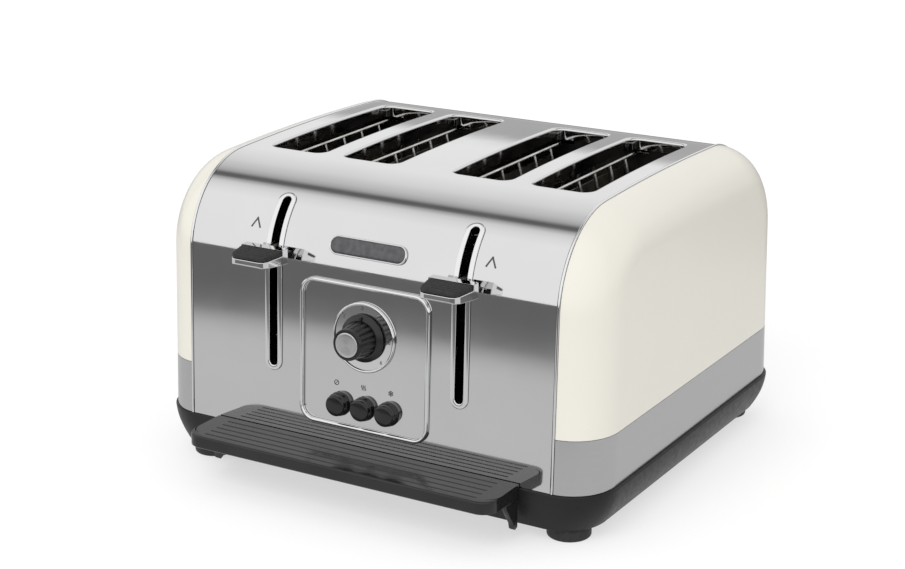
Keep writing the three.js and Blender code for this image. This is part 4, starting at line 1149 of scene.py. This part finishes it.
class TOASTER_OT_ledge(bpy.types.Operator):
    """Builds the front ledge that pulls the crumb tray out, and the fixed bar and brackets under it"""

    bl_idname = "toaster.ledge"
    bl_label = "Front ledge"

    def execute(self, context):
        plastic = finish_of("ledge_plastic")
        add_piece("ledge_top", ledge_mesh(), plastic, "tray", ["crumb_tray_handle"], "gloss_black")
        bar, left, right = support_meshes()
        add_piece("ledge_bar", bar, plastic, "housing", ["ledge_support"], "gloss_black")
        add_piece("left_ledge_bracket", left, plastic, "housing")
        add_piece("right_ledge_bracket", right, plastic, "housing")
        return {"FINISHED"}


# ---------- control panel ----------


def face_frame(across, up, lift=0.0):
    """A place function for pieces that stand on the front with their middle at (across, up)."""

    def place(x, y, out):
        return on_face(across + x, up + y, lift + out)

    return place


def strokes(lines, width, bottom, top, place):
    """Thin raised lines: every stretch of every polyline is one small closed bar."""
    surface = Surface()
    for line in lines:
        line = np.array(line, dtype=float)
        for start, end in zip(line[:-1], line[1:]):
            step = end - start
            size = np.hypot(*step)
            if size < 1e-9:
                continue
            along, side = step / size * width / 2, np.array([-step[1], step[0]]) / size * width / 2
            corners = np.array(
                [start - along - side, end + along - side, end + along + side, start - along + side]
            )
            surface.bar(np.array([place(*corners.T, np.full(4, out)) for out in (bottom, top)]))
    return surface.mesh("print", crease=20)


DIGITS = {
    1: [[(0.2, 0.75), (0.55, 1.0), (0.55, 0.0)]],
    2: [[(0.0, 0.8), (0.25, 1.0), (0.75, 1.0), (1.0, 0.75), (0.85, 0.5), (0.0, 0.0), (1.0, 0.0)]],
    3: [[(0.0, 1.0), (1.0, 1.0), (0.45, 0.6), (0.9, 0.5), (1.0, 0.25), (0.75, 0.0), (0.25, 0.0), (0.0, 0.2)]],
    4: [[(0.75, 0.0), (0.75, 1.0), (0.0, 0.3), (1.0, 0.3)]],
    5: [[(1.0, 1.0), (0.1, 1.0), (0.0, 0.55), (0.7, 0.6), (1.0, 0.35), (0.75, 0.0), (0.2, 0.0), (0.0, 0.15)]],
    6: [
        [(0.85, 1.0), (0.3, 0.75), (0.0, 0.3), (0.25, 0.0), (0.75, 0.0), (1.0, 0.3), (0.7, 0.55), (0.1, 0.45)]
    ],
}


def stop_icon():
    """A ring crossed by a slanting line."""
    return [arc(0, 360, 1.5 * MM, 20), [(-1.0 * MM, -1.0 * MM), (1.0 * MM, 1.0 * MM)]]


def warm_icon():
    """Three rising waves."""
    rise = np.linspace(0, 1, 9)
    wave = 0.35 * MM * np.sin(rise * 2 * math.pi)
    return [np.stack([x * MM + wave, (rise * 3.0 - 1.5) * MM], 1).tolist() for x in (-1.2, 0.0, 1.2)]


def frost_icon():
    """A six-armed crystal with short side strokes."""
    lines = []
    for k in range(6):
        angle = math.pi / 3 * k + math.pi / 6
        tip = np.array([math.cos(angle), math.sin(angle)])
        lines.append([(0.0, 0.0), tuple(1.6 * MM * tip)])
        for turn in (-0.7, 0.7):
            twig = 1.0 * MM * tip + 0.55 * MM * np.array([math.cos(angle + turn), math.sin(angle + turn)])
            lines.append([tuple(1.0 * MM * tip), tuple(twig)])
    return lines


def bezel_mesh():
    """Bright frame round the panel: a half-round bead carried round a rounded square."""
    low, high = box("control_bezel")
    across = face_place("control_bezel")[0]
    lean = body_sizes().face_lean
    width = high[0] - low[0]
    proud = 2.4 * MM
    height = ((high[2] - low[2]) - proud * math.sin(lean)) / math.cos(lean)
    outline, normals = rounded_rect(width, height, 10.6 * MM, 12)
    bar = 2.6 * MM
    bead = arc(180, 0, bar / 2, 10, (bar / 2, proud - bar / 2))
    section = np.concatenate([[(0, 0.35 * MM)], bead, [(bar, 0.35 * MM)]])
    x, y, out = plate_rings(outline, normals, section)
    up = face_up(low[2]) + height / 2
    return loop_mesh(on_face(across + x, up + y, out), "bezel")


def dial_mesh(up):
    """Shallow ring behind the knob with a raised rolled rim."""
    low, high = box("dial_ring")
    radius = (high[0] - low[0]) / 2
    bead = arc(0, 180, 0.8 * MM, 8, (radius - 0.8 * MM, 1.4 * MM))
    profile = np.concatenate([[(4.6 * MM, 0.35 * MM), (radius, 0.35 * MM)], bead])
    profile = np.concatenate([profile, [(radius - 1.8 * MM, 1.15 * MM), (4.6 * MM, 1.15 * MM)]])
    return loop_mesh(turned(profile, 96, face_frame(0, up)), "dial", 50)


def skirt_mesh(up, radius):
    """The knob's skirt disc: flat back, softly rounded edge and a low ring near its rim."""
    edge = arc(-90, 60, 0.9 * MM, 7, (radius - 0.9 * MM, 2.75 * MM))
    profile = np.concatenate([[(KNOB_BORE, 1.85 * MM)], edge])
    top = [(radius - 2.4 * MM, 4.2 * MM), (radius - 3.2 * MM, 4.9 * MM), (radius - 3.8 * MM, 4.9 * MM)]
    top += [(radius - 4.4 * MM, 4.5 * MM), (KNOB_BORE, 4.9 * MM)]
    place = face_frame(0, up)
    rings = turned(np.concatenate([profile, top]), 96, place)
    surface = Surface().patch(rings, close_rows=True, close_columns=True)
    half = 0.7 * MM
    pointer = rounded_block((-half, 9.6 * MM, 4.0 * MM), (half, radius - 1.2 * MM, 5.9 * MM), 0.3 * MM)
    return surface.bar(place(*np.moveaxis(pointer, -1, 0))).mesh("skirt", crease=45)


def grip_mesh(up, base_radius, tip_radius, cap_radius, length_out):
    """The knob's tapered grip: narrow flutes round it, a smooth collar at the tip and a seat for the cap."""
    flutes = fittings().knob_flutes
    angle = np.linspace(0, 2 * math.pi, flutes * 14, endpoint=False)[None, :]
    start, collar = 4.6 * MM, length_out - 2.4 * MM
    rise = np.concatenate([np.linspace(*span) for span in ((0, 0.1, 4), (0.2, 0.9, 5), (0.94, 1.0, 4))])
    rise = rise[:, None]
    radius = base_radius + (tip_radius - base_radius) * rise
    fade = np.clip((1.0 - rise) / 0.06, 0, 1)
    ridge = (0.5 + 0.5 * np.cos(flutes * angle)) ** 3
    body = radius * (1 - 0.085 * fade * ridge)
    out = start + (collar - start) * rise + 0 * angle
    edge, seat, seat_out = 0.6 * MM, cap_radius + 0.3 * MM, length_out - 1.0 * MM
    rest = [(tip_radius, collar + 1.4 * MM)]
    for turn in np.linspace(0.3, math.pi / 2, 4):
        rest.append((tip_radius - edge * (1 - math.cos(turn)), length_out - edge + edge * math.sin(turn)))
    rest += [(seat, length_out), (seat, seat_out), (KNOB_BORE, seat_out), (KNOB_BORE, start)]
    rest = np.array(rest)[:, :, None]
    radius = np.concatenate([body, rest[:, 0] + 0 * angle])
    out = np.concatenate([out, rest[:, 1] + 0 * angle])
    grid = face_frame(0, up)(radius * np.cos(angle), radius * np.sin(angle), out)
    return loop_mesh(grid, "grip", 50)


def cap_mesh(up, radius, bottom, top):
    """Metal disc in the knob's tip with a small rounded edge; a UV map runs round its axis."""
    profile = [(PIN, top)] + [(radius * share, top) for share in (0.25, 0.5, 0.75)]
    profile += [(radius - 0.35 * MM, top), (radius - 0.1 * MM, top - 0.1 * MM), (radius, top - 0.35 * MM)]
    profile += [(radius, bottom), (PIN, bottom)]
    mesh = bar_mesh(turned(np.array(profile), 96, face_frame(0, up)), "cap", 50)
    points = np.empty(len(mesh.vertices) * 3)
    mesh.vertices.foreach_get("co", points)
    points = points.reshape(-1, 3) - on_face(0, up, top)
    lean = body_sizes().face_lean
    flat_x, flat_y = points[:, 0], points[:, 1] * math.sin(lean) + points[:, 2] * math.cos(lean)
    layer = mesh.uv_layers.new(name="round")
    values = np.empty((len(mesh.loops), 2))
    for face in mesh.polygons:
        corners = np.array(face.vertices[:])
        middle = math.atan2(flat_y[corners].mean(), flat_x[corners].mean())
        angle = np.arctan2(flat_y[corners], flat_x[corners])
        angle = middle + (angle - middle + math.pi) % (2 * math.pi) - math.pi
        span = slice(face.loop_start, face.loop_start + face.loop_total)
        values[span, 0] = angle / (2 * math.pi)
        values[span, 1] = np.hypot(flat_x[corners], flat_y[corners]) / radius * 0.5
    layer.data.foreach_set("uv", values.ravel())
    return mesh


def button_mesh(node):
    """A push button: stem and lip behind the panel, a plain barrel and a narrower domed front."""
    low, high = box(node)
    across = face_place(node)[0]
    lip = (high[0] - low[0]) / 2
    barrel = lip - 1 * MM
    depth = high[1] - low[1]
    lean = body_sizes().face_lean
    stem_end = BUTTON_PROUD + 0.3 * MM - (depth - 2 * lip * math.sin(lean)) / math.cos(lean)
    stem = 3.0 * MM
    profile = [(PIN, stem_end), (stem, stem_end), (stem, -4 * MM), (lip, -4 * MM), (lip, -2 * MM)]
    collar = BUTTON_PROUD - 3.4 * MM
    profile += [(barrel, -2 * MM), (barrel, collar - 0.5 * MM), (barrel - 0.25 * MM, collar - 0.1 * MM)]
    profile += [(barrel - 0.6 * MM, collar), (barrel - 0.6 * MM, BUTTON_PROUD - 1.5 * MM)]
    shoulder = arc(0, 72, 1.2 * MM, 6, (barrel - 1.8 * MM, BUTTON_PROUD - 1.4 * MM))
    dome_r = np.linspace(shoulder[-1, 0], PIN, 8)
    crown = BUTTON_PROUD + 0.28 * MM
    dome = np.stack([dome_r, crown - (crown - shoulder[-1, 1]) * (dome_r / shoulder[-1, 0]) ** 2], 1)[1:]
    profile = np.concatenate([profile, shoulder, dome])
    return bar_mesh(turned(profile, 64, face_frame(across, BUTTON_ROW)), node, 48)


class TOASTER_OT_controls(bpy.types.Operator):
    """Builds the bezel, the browning dial and its fluted knob, the three buttons and their printed marks"""

    bl_idname = "toaster.controls"
    bl_label = "Control panel"

    def execute(self, context):
        bright, ink = finish_of("chrome"), finish_of("print_ink")
        add_piece("bezel_bead", bezel_mesh(), bright, "housing", ["control_bezel"], "chrome_trim")
        add_piece("dial_dish", dial_mesh(DIAL_ROW), bright, "housing", ["dial_ring"], "chrome_trim")
        low, high = box("browning_knob")
        skirt_radius = (high[0] - low[0]) / 2
        cap_low, cap_high = box("knob_cap")
        cap_radius = (cap_high[0] - cap_low[0]) / 2
        black = finish_of("knob_plastic")
        skirt = skirt_mesh(DIAL_ROW, skirt_radius)
        add_piece("knob_skirt", skirt, black, "knob", ["browning_knob"], "gloss_black")
        grip = grip_mesh(DIAL_ROW, KNOB_FOOT_RADIUS, KNOB_TIP_RADIUS, cap_radius, KNOB_LENGTH)
        add_piece("knob_grip", grip, black, "knob")
        cap = cap_mesh(DIAL_ROW, cap_radius, *CAP_SPAN)
        add_piece("knob_disc", cap, finish_of("spun_metal"), "knob", ["knob_cap"], "spun_aluminium")
        numerals = []
        for number, lines in DIGITS.items():
            angle = math.radians(235 - 47 * number)
            centre = np.array([math.cos(angle), math.sin(angle)]) * NUMERAL_RING
            for line in lines:
                numerals.append([centre + (np.array(p) - 0.5) * NUMERAL_SIZE for p in line])
        marks = fittings()
        place = face_frame(0, DIAL_ROW, 1.15 * MM)
        mesh = strokes(numerals, marks.mark_stroke * 0.7, INK_FOOT, marks.mark_proud, place)
        add_piece("dial_numerals", mesh, ink, "housing")
        for icon, (node, across) in zip((stop_icon, warm_icon, frost_icon), MARKS_ACROSS.items()):
            name = f"{node}_button"
            piece = button_mesh(name)
            add_piece(f"{name}_cap", piece, finish_of("gloss_black"), name, [name], "gloss_black")
            place = face_frame(across, MARK_ROW)
            mesh = strokes(icon(), marks.mark_stroke, INK_FOOT, marks.mark_proud, place)
            add_piece(f"{node}_mark", mesh, ink, "housing")
        return {"FINISHED"}


# ---------- levers, badge and guards ----------


def slot_trim_mesh(side, wrap):
    """Bright frame of a lever slot: a rounded flange on the wrap with a collar straight back through it."""
    low, high = box(f"{side}_slot_trim")
    x, half_outer = (low[0] + high[0]) / 2, (high[0] - low[0]) / 2
    ends = wrap.from_height(np.array([low[2], high[2] - 0.6 * MM]))
    section = [(0, 0.3), (0, 0.75), (0.12, 0.95), (0.35, 1.08), (2.7, 1.08), (3.0, 0.95), (3.2, 0.6)]
    section = np.array(section + [(3.2, -2.9), (2.6, -2.9), (2.6, 0.3)]) * MM
    outline, normals = rounded_rect(2 * half_outer, ends[1] - ends[0], half_outer * 0.995, 12)
    step, step_n = np.roll(outline, -1, axis=0) - outline, np.roll(normals, -1, axis=0) - normals
    cuts = np.where(np.linalg.norm(step, axis=1) > 20 * MM, 40, 1)
    owner = np.repeat(np.arange(len(outline)), cuts)
    share = np.concatenate([np.arange(count) / count for count in cuts])[:, None]
    outline, normals = outline[owner] + step[owner] * share, normals[owner] + step_n[owner] * share
    across, along, out = plate_rings(outline, normals, section)
    grid = wrap.place(x + across, ends.mean() + along, np.maximum(out, 0))
    grid[..., 1] += np.maximum(-out, 0)
    return loop_mesh(grid, f"{side}_trim", 45)


def pad_mesh(side):
    """Rubber lever pad: ridges that run across and sink towards its front and back."""
    low, high = box(f"{side}_lever_pad")
    ridges = 6
    y = np.linspace(low[1], high[1], ridges * 12 + 1)
    share = (y - low[1]) / (high[1] - low[1])
    wave = np.abs(np.sin(share * ridges * math.pi)) ** 0.6
    crest = high[2] - (high[2] - low[2]) * 0.30 * (1 - share) ** 1.3
    top = crest - 1.3 * MM * (1 - wave)
    width = (high[0] - low[0]) / 2
    taper = width - 2.6 * MM * (1 - share) - np.where(share < 0.12, (0.12 - share) * 20 * MM, 0)
    middle = (low[0] + high[0]) / 2
    rows, edge = [], 0.8 * MM
    for yy, tt, ww in zip(y, top, taper):
        section = [(-ww, low[2]), (-ww, tt - edge), (-ww + 0.25 * edge, tt - 0.3 * edge), (-ww + edge, tt)]
        section += [(-a, b) for a, b in section[::-1]]
        rows.append([(middle + a, yy, b) for a, b in section])
    return bar_mesh(np.array(rows), f"{side}_pad", 60)


def badge_meshes(wrap):
    """The blank badge: a bright rounded rim and a sunk dark face, both following the wrap."""
    low, high = box("badge")
    ends = wrap.from_height(np.array([low[2], high[2]]))
    width, height = high[0] - low[0], 12 * MM
    middle = ends.mean()
    outline, normals = rounded_rect(width, height, height * 0.498, 14)

    def rings(section):
        across, along, out = plate_rings(outline, normals, np.array(section) * MM)
        return wrap.place(across, middle + along, out)

    rim = rings([(0, 0.35), (0, 1.1), (0.25, 1.6), (0.6, 1.8), (0.95, 1.6), (1.2, 1.1), (1.2, 0.35)])
    face = rings([(1.25, 0.4), (1.25, 1.2), (1.4, 1.3), (2.6, 1.38), (5.6, 1.42)])
    return loop_mesh(rim, "badge_rim", 60), bar_mesh(face, "badge_face", 60)


def guard_mesh(side, hand, node):
    """A pair's guards on one hand: round rails, uprights that flare at their tips, and the joining link."""
    low, high = box(node)
    out = dict(SIDES)[hand]
    radius, flare, flare_rise, uprights = 1.1 * MM, 3 * MM, 11.5 * MM, 6
    pitch = body_sizes().slot_length / 6.4
    tip, foot = high[2] - radius, low[2]
    low_rail = foot + 8 * MM
    surface = Surface()
    for x, y in slot_places():
        if (x < 0) != (side == "left"):
            continue
        x = x + out * 15 * MM
        for across, z in ((x, low_rail), (x + out * flare, tip)):
            path = np.stack([np.full(9, across), np.linspace(low[1], high[1], 9), np.full(9, z)], 1)
            surface.bar(tube(path, radius, 12, np.array([0, 0, 1.0])))
        z = np.concatenate([np.linspace(foot, tip - 13 * MM, 6), np.linspace(tip - 11 * MM, tip, 8)])
        lean = np.clip((z - (tip - flare_rise)) / flare_rise, 0, 1) ** 1.2 * flare * out
        for i in range(uprights):
            path = np.stack([x + lean, np.full(len(z), y + (i - (uprights - 1) / 2) * pitch), z], 1)
            surface.bar(tube(path, radius, 12, np.array([0, 1.0, 0])))
    thick = 1.2 * MM
    at = low[1] if hand == "left" else high[1] - thick
    link = rounded_block((low[0], at, tip - 4 * MM), (high[0], at + thick, tip - 0.7 * MM), 0.3 * MM)
    return surface.bar(link).mesh(node, crease=50)


class TOASTER_OT_levers(bpy.types.Operator):
    """Builds the lever slots' bright frames, the ridged lever pads, the lift marks and the blank badge"""

    bl_idname = "toaster.levers"
    bl_label = "Levers and badge"

    def execute(self, context):
        wrap = WrapMap()
        bright = finish_of("chrome")
        for side, sign in SIDES:
            trim = f"{side}_slot_trim"
            add_piece(f"{trim}_frame", slot_trim_mesh(side, wrap), bright, "housing", [trim], "chrome_trim")
            pad = f"{side}_lever_pad"
            mesh = pad_mesh(side)
            add_piece(f"{pad}_ridges", mesh, finish_of("rubber"), f"{side}_lever", [pad], "pad_rubber")
            foot, tip = wrap.from_height(np.array([0.1626, 0.1675]))
            lines = [[(sign * 86.6 * MM, foot), (sign * 83.6 * MM, tip), (sign * 80.6 * MM, foot)]]
            mark = strokes(lines, 1.1 * MM, INK_FOOT, fittings().mark_proud, wrap.place)
            add_piece(f"{side}_lift_mark", mark, finish_of("print_ink"), "housing")
        rim, face = badge_meshes(wrap)
        add_piece("badge_rim", rim, bright, "housing")
        add_piece("badge_face", face, finish_of("badge_enamel"), "housing", ["badge"], "badge_grey")
        return {"FINISHED"}


class TOASTER_OT_guards(bpy.types.Operator):
    """Builds the round wire guards that stand along the bread slots"""

    bl_idname = "toaster.guards"
    bl_label = "Wire guards"

    def execute(self, context):
        for side, _ in SIDES:
            for hand, _ in SIDES:
                node = f"{side}_pair_{hand}_guards"
                mesh = guard_mesh(side, hand, node)
                add_piece(f"{node}_wires", mesh, finish_of("wire_steel"), node, [node], "wire_steel")
        return {"FINISHED"}


# ---------- finishes of the CAD nodes that stay ----------


def kept_finishes():
    """Finish and edge rounding in metres for each CAD node that is shown as it is."""
    sizes = fittings()
    plan = {
        "base_plate": "chassis_steel",
        "cord_inlet": "rubber",
        "crumb_tray": "tray_steel",
        "knob_shaft": "chassis_steel",
        "browning_control": "black_plastic",
        "control_board": "circuit_board",
        "front_chassis_plate": "sooty_steel",
        "rear_chassis": "sooty_steel",
        "base_screw_left": "wire_steel",
        "base_screw_right": "wire_steel",
    }
    sided = {
        "lever_handle": "chrome",
        "carriage": "chassis_steel",
        "keeper_plate": "chassis_steel",
        "bread_racks": "sooty_steel",
        "guide_rod": "wire_steel",
        "return_spring": "wire_steel",
        "electromagnet": "copper_coil",
        "inner_heater_board": "mica",
        "middle_heater_board": "mica",
        "outer_heater_board": "mica",
    }
    for side, _ in SIDES:
        plan.update((f"{side}_{node}", finish) for node, finish in sided.items())
    edges = {"cord_inlet": sizes.plastic_edge * 0.6}
    edges.update((f"{side}_lever_handle", sizes.metal_edge) for side, _ in SIDES)
    return {node: (finish, edges.get(node, 0.0)) for node, finish in plan.items()}


class TOASTER_OT_finishes(bpy.types.Operator):
    """Gives every CAD node that is shown as it is a finish, and rounds the edges that are seen"""

    bl_idname = "toaster.finishes"
    bl_label = "Finishes of plain parts"

    def execute(self, context):
        for name, (finish, edge) in kept_finishes().items():
            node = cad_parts[name]
            node.data.materials.clear()
            node.data.materials.append(finish_of(finish))
            if edge:
                weld = node.modifiers.new("weld", "WELD")
                weld.merge_threshold = 0.02 * MM
                bevel = node.modifiers.new("edges", "BEVEL")
                bevel.width = edge
                bevel.segments = 3
                bevel.limit_method = "ANGLE"
                bevel.angle_limit = math.radians(32)
                bevel.harden_normals = True
        return {"FINISHED"}


# ---------- stage ----------

# Brightness of the studio along the arc over the toaster: degrees above the front horizon, then radiance.
SKY = (
    (0, 1.06), (66, 1.06), (71, 1.01), (76, 0.96), (82, 0.84), (87, 0.48), (90, 0.16), (94, 0.14), (99, 0.5),
    (106, 0.68), (113, 0.77), (121, 0.88), (129, 0.93), (141, 0.97), (162, 1.0), (163, 0.47), (176, 0.5),
)
# Brightness of the table as polished metal sees it: metres from the toaster's middle, then radiance.
TABLE = (
    (0.0, 0.66), (0.36, 0.66), (0.45, 0.645), (0.48, 0.58),
    (0.507, 0.44), (0.53, 0.25), (0.56, 0.2), (0.62, 0.16),
)


class LightMaterial:
    """An emission material whose strength follows a table over one computed value."""

    def __init__(self, name):
        self.material = bpy.data.materials.new(name)
        self.material.use_nodes = True
        self.nodes = self.material.node_tree.nodes
        self.links = self.material.node_tree.links
        self.nodes.clear()
        self.material.cycles.emission_sampling = "NONE"
        coords = self.nodes.new("ShaderNodeTexCoord").outputs["Object"]
        split = self.nodes.new("ShaderNodeSeparateXYZ")
        self.links.new(coords, split.inputs["Vector"])
        self.x, self.y, self.z = (split.outputs[axis] for axis in "XYZ")

    def maths(self, operation, first, second=0.0):
        node = self.nodes.new("ShaderNodeMath")
        node.operation = operation
        for socket, value in zip(node.inputs, (first, second)):
            if isinstance(value, (int, float)):
                socket.default_value = value
            else:
                self.links.new(value, socket)
        return node.outputs["Value"]

    def follow(self, value, table, full):
        """Sends value / full through a ramp of the table's steps into the emission."""
        ramp = self.nodes.new("ShaderNodeValToRGB")
        elements = ramp.color_ramp.elements
        top = max(level for _, level in table)
        while len(elements) < len(table):
            elements.new(0.5)
        for element, (at, level) in zip(elements, table):
            element.position = at / full
            element.color = (level / top, level / top, level / top, 1)
        self.links.new(self.maths("DIVIDE", value, full), ramp.inputs["Fac"])
        glow = self.nodes.new("ShaderNodeEmission")
        glow.inputs["Strength"].default_value = top
        self.links.new(ramp.outputs["Color"], glow.inputs["Color"])
        output = self.nodes.new("ShaderNodeOutputMaterial")
        self.links.new(glow.outputs["Emission"], output.inputs["Surface"])
        return self.material


def reflection_only(thing):
    """Shows an object to polished surfaces and to nothing else."""
    thing.visible_camera = False
    thing.visible_diffuse = False
    thing.visible_transmission = False
    thing.visible_volume_scatter = False
    thing.visible_shadow = False


def sheet_mesh(name, half, height):
    """A level square about the origin."""
    mesh = bpy.data.meshes.new(name)
    corners = [(-half, -half), (half, -half), (half, half), (-half, half)]
    mesh.from_pydata([(x, y, height) for x, y in corners], [], [(0, 1, 2, 3)])
    return mesh


def stage_object(name, mesh, material):
    thing = bpy.data.objects.new(name, mesh)
    bpy.context.scene.collection.objects.link(thing)
    mesh.materials.append(material)
    return thing


class TOASTER_OT_stage(bpy.types.Operator):
    """Builds the floor, the studio that polished metal mirrors, the soft key light and the camera"""

    bl_idname = "toaster.stage"
    bl_label = "Stage"

    def execute(self, context):
        scene = context.scene
        setup = scene.toaster_stage
        scene.view_settings.view_transform = "Standard"
        world = bpy.data.worlds.new("studio")
        scene.world = world
        world.use_nodes = True
        sky = world.node_tree.nodes["Background"]
        sky.inputs["Color"].default_value = (1, 1, 1, 1)
        sky.inputs["Strength"].default_value = setup.daylight
        self.floor()
        self.dome()
        self.table()
        self.key_light(setup.key)
        self.camera(scene, setup)
        return {"FINISHED"}

    def floor(self):
        finish = Finish("floor_paper", (0.95, 0.95, 0.95), 0.9)
        finish.vary_colour(finish.noise(4, 2), (0.40, 0.40, 0.40), (0.405, 0.405, 0.405))
        finish.shader.inputs["Specular IOR Level"].default_value = 0.0
        finish.shader.inputs["Emission Color"].default_value = (1, 1, 1, 1)
        finish.shader.inputs["Emission Strength"].default_value = 0.6
        stage_object("floor", sheet_mesh("floor", 30, 0), finish.material)

    def dome(self):
        light = LightMaterial("studio_dome")
        angle = light.maths("ARCTAN2", light.z, light.maths("MULTIPLY", light.y, -1.0))
        degrees = light.maths("MULTIPLY", angle, 180 / math.pi)
        material = light.follow(degrees, SKY, 180)
        turn = np.linspace(0, 2 * math.pi, 64, endpoint=False)[None, :]
        rise = np.linspace(-0.02, math.pi / 2 * 0.995, 24)[:, None]
        radius = 4.0
        grid = radius * np.stack(
            [np.cos(rise) * np.cos(turn), np.cos(rise) * np.sin(turn), np.sin(rise) + 0 * turn], axis=-1
        )
        mesh = Surface().patch(grid, close_columns=True, caps=(False, True)).mesh("dome")
        reflection_only(stage_object("studio_dome", mesh, material))

    def table(self):
        light = LightMaterial("studio_table")
        across = light.maths("MULTIPLY", light.x, 0.6)
        depth = light.maths("SUBTRACT", light.y, CENTRE_Y)
        squares = [
            light.maths("POWER", light.maths("ABSOLUTE", value), 2.0) for value in (across, depth)
        ]
        distance = light.maths("SQRT", light.maths("ADD", *squares))
        material = light.follow(distance, TABLE, 1.0)
        reflection_only(stage_object("studio_table", sheet_mesh("table", 4.0, 0.2 * MM), material))

    def key_light(self, power):
        lamp = bpy.data.lights.new("key", "AREA")
        lamp.shape = "RECTANGLE"
        lamp.size, lamp.size_y = 1.4, 1.0
        lamp.energy = power
        lamp.specular_factor = 0.0
        thing = bpy.data.objects.new("key", lamp)
        bpy.context.scene.collection.objects.link(thing)
        place = Vector((0.2, -1.7, 1.7))
        thing.location = place
        thing.rotation_euler = (Vector((0, 0, 0.1)) - place).to_track_quat("-Z", "Y").to_euler()
        thing.visible_glossy = False

    def camera(self, scene, setup):
        data = bpy.data.cameras.new("camera")
        data.lens = setup.lens
        data.sensor_width = 36
        data.sensor_fit = "HORIZONTAL"
        data.clip_end = 100
        camera = bpy.data.objects.new("camera", data)
        scene.collection.objects.link(camera)
        place = Vector(setup.camera_at)
        look = (Vector(setup.camera_target) - place).to_track_quat("-Z", "Y")
        camera.location = place
        camera.rotation_mode = "QUATERNION"
        camera.rotation_quaternion = look @ Quaternion((0, 0, 1), setup.camera_roll)
        scene.camera = camera


# ---------- panel ----------

OPERATORS = (
    TOASTER_OT_wrap,
    TOASTER_OT_ends,
    TOASTER_OT_base,
    TOASTER_OT_ledge,
    TOASTER_OT_controls,
    TOASTER_OT_levers,
    TOASTER_OT_guards,
    TOASTER_OT_finishes,
    TOASTER_OT_stage,
)
SETTINGS = {
    "toaster_body": ToasterBodySizes,
    "toaster_fittings": ToasterFittingSizes,
    "toaster_colours": ToasterFinishColours,
    "toaster_stage": ToasterStage,
}


class TOASTER_PT_panel(bpy.types.Panel):
    """Lists the toaster's builders and their settings"""

    bl_idname = "TOASTER_PT_panel"
    bl_label = "Toaster"
    bl_space_type = "VIEW_3D"
    bl_region_type = "UI"
    bl_category = "Toaster"

    def draw(self, context):
        for operator in OPERATORS:
            self.layout.operator(operator.bl_idname)
        for name, group in SETTINGS.items():
            column = self.layout.column(heading=name.replace("_", " "))
            for field in group.__annotations__:
                column.prop(getattr(context.scene, name), field)


def register():
    for group in SETTINGS.values():
        bpy.utils.register_class(group)
    for name, group in SETTINGS.items():
        setattr(bpy.types.Scene, name, bpy.props.PointerProperty(type=group))
    for item in (*OPERATORS, TOASTER_PT_panel):
        bpy.utils.register_class(item)


def unregister():
    for item in (TOASTER_PT_panel, *reversed(OPERATORS)):
        bpy.utils.unregister_class(item)
    for name in SETTINGS:
        delattr(bpy.types.Scene, name)
    for group in reversed(list(SETTINGS.values())):
        bpy.utils.unregister_class(group)


def main():
    register()
    for operator in OPERATORS:
        group, name = operator.bl_idname.split(".")
        if getattr(getattr(bpy.ops, group), name)() != {"FINISHED"}:
            raise RuntimeError(f"{operator.bl_label} was not built")


if __name__ == "__main__":
    main()
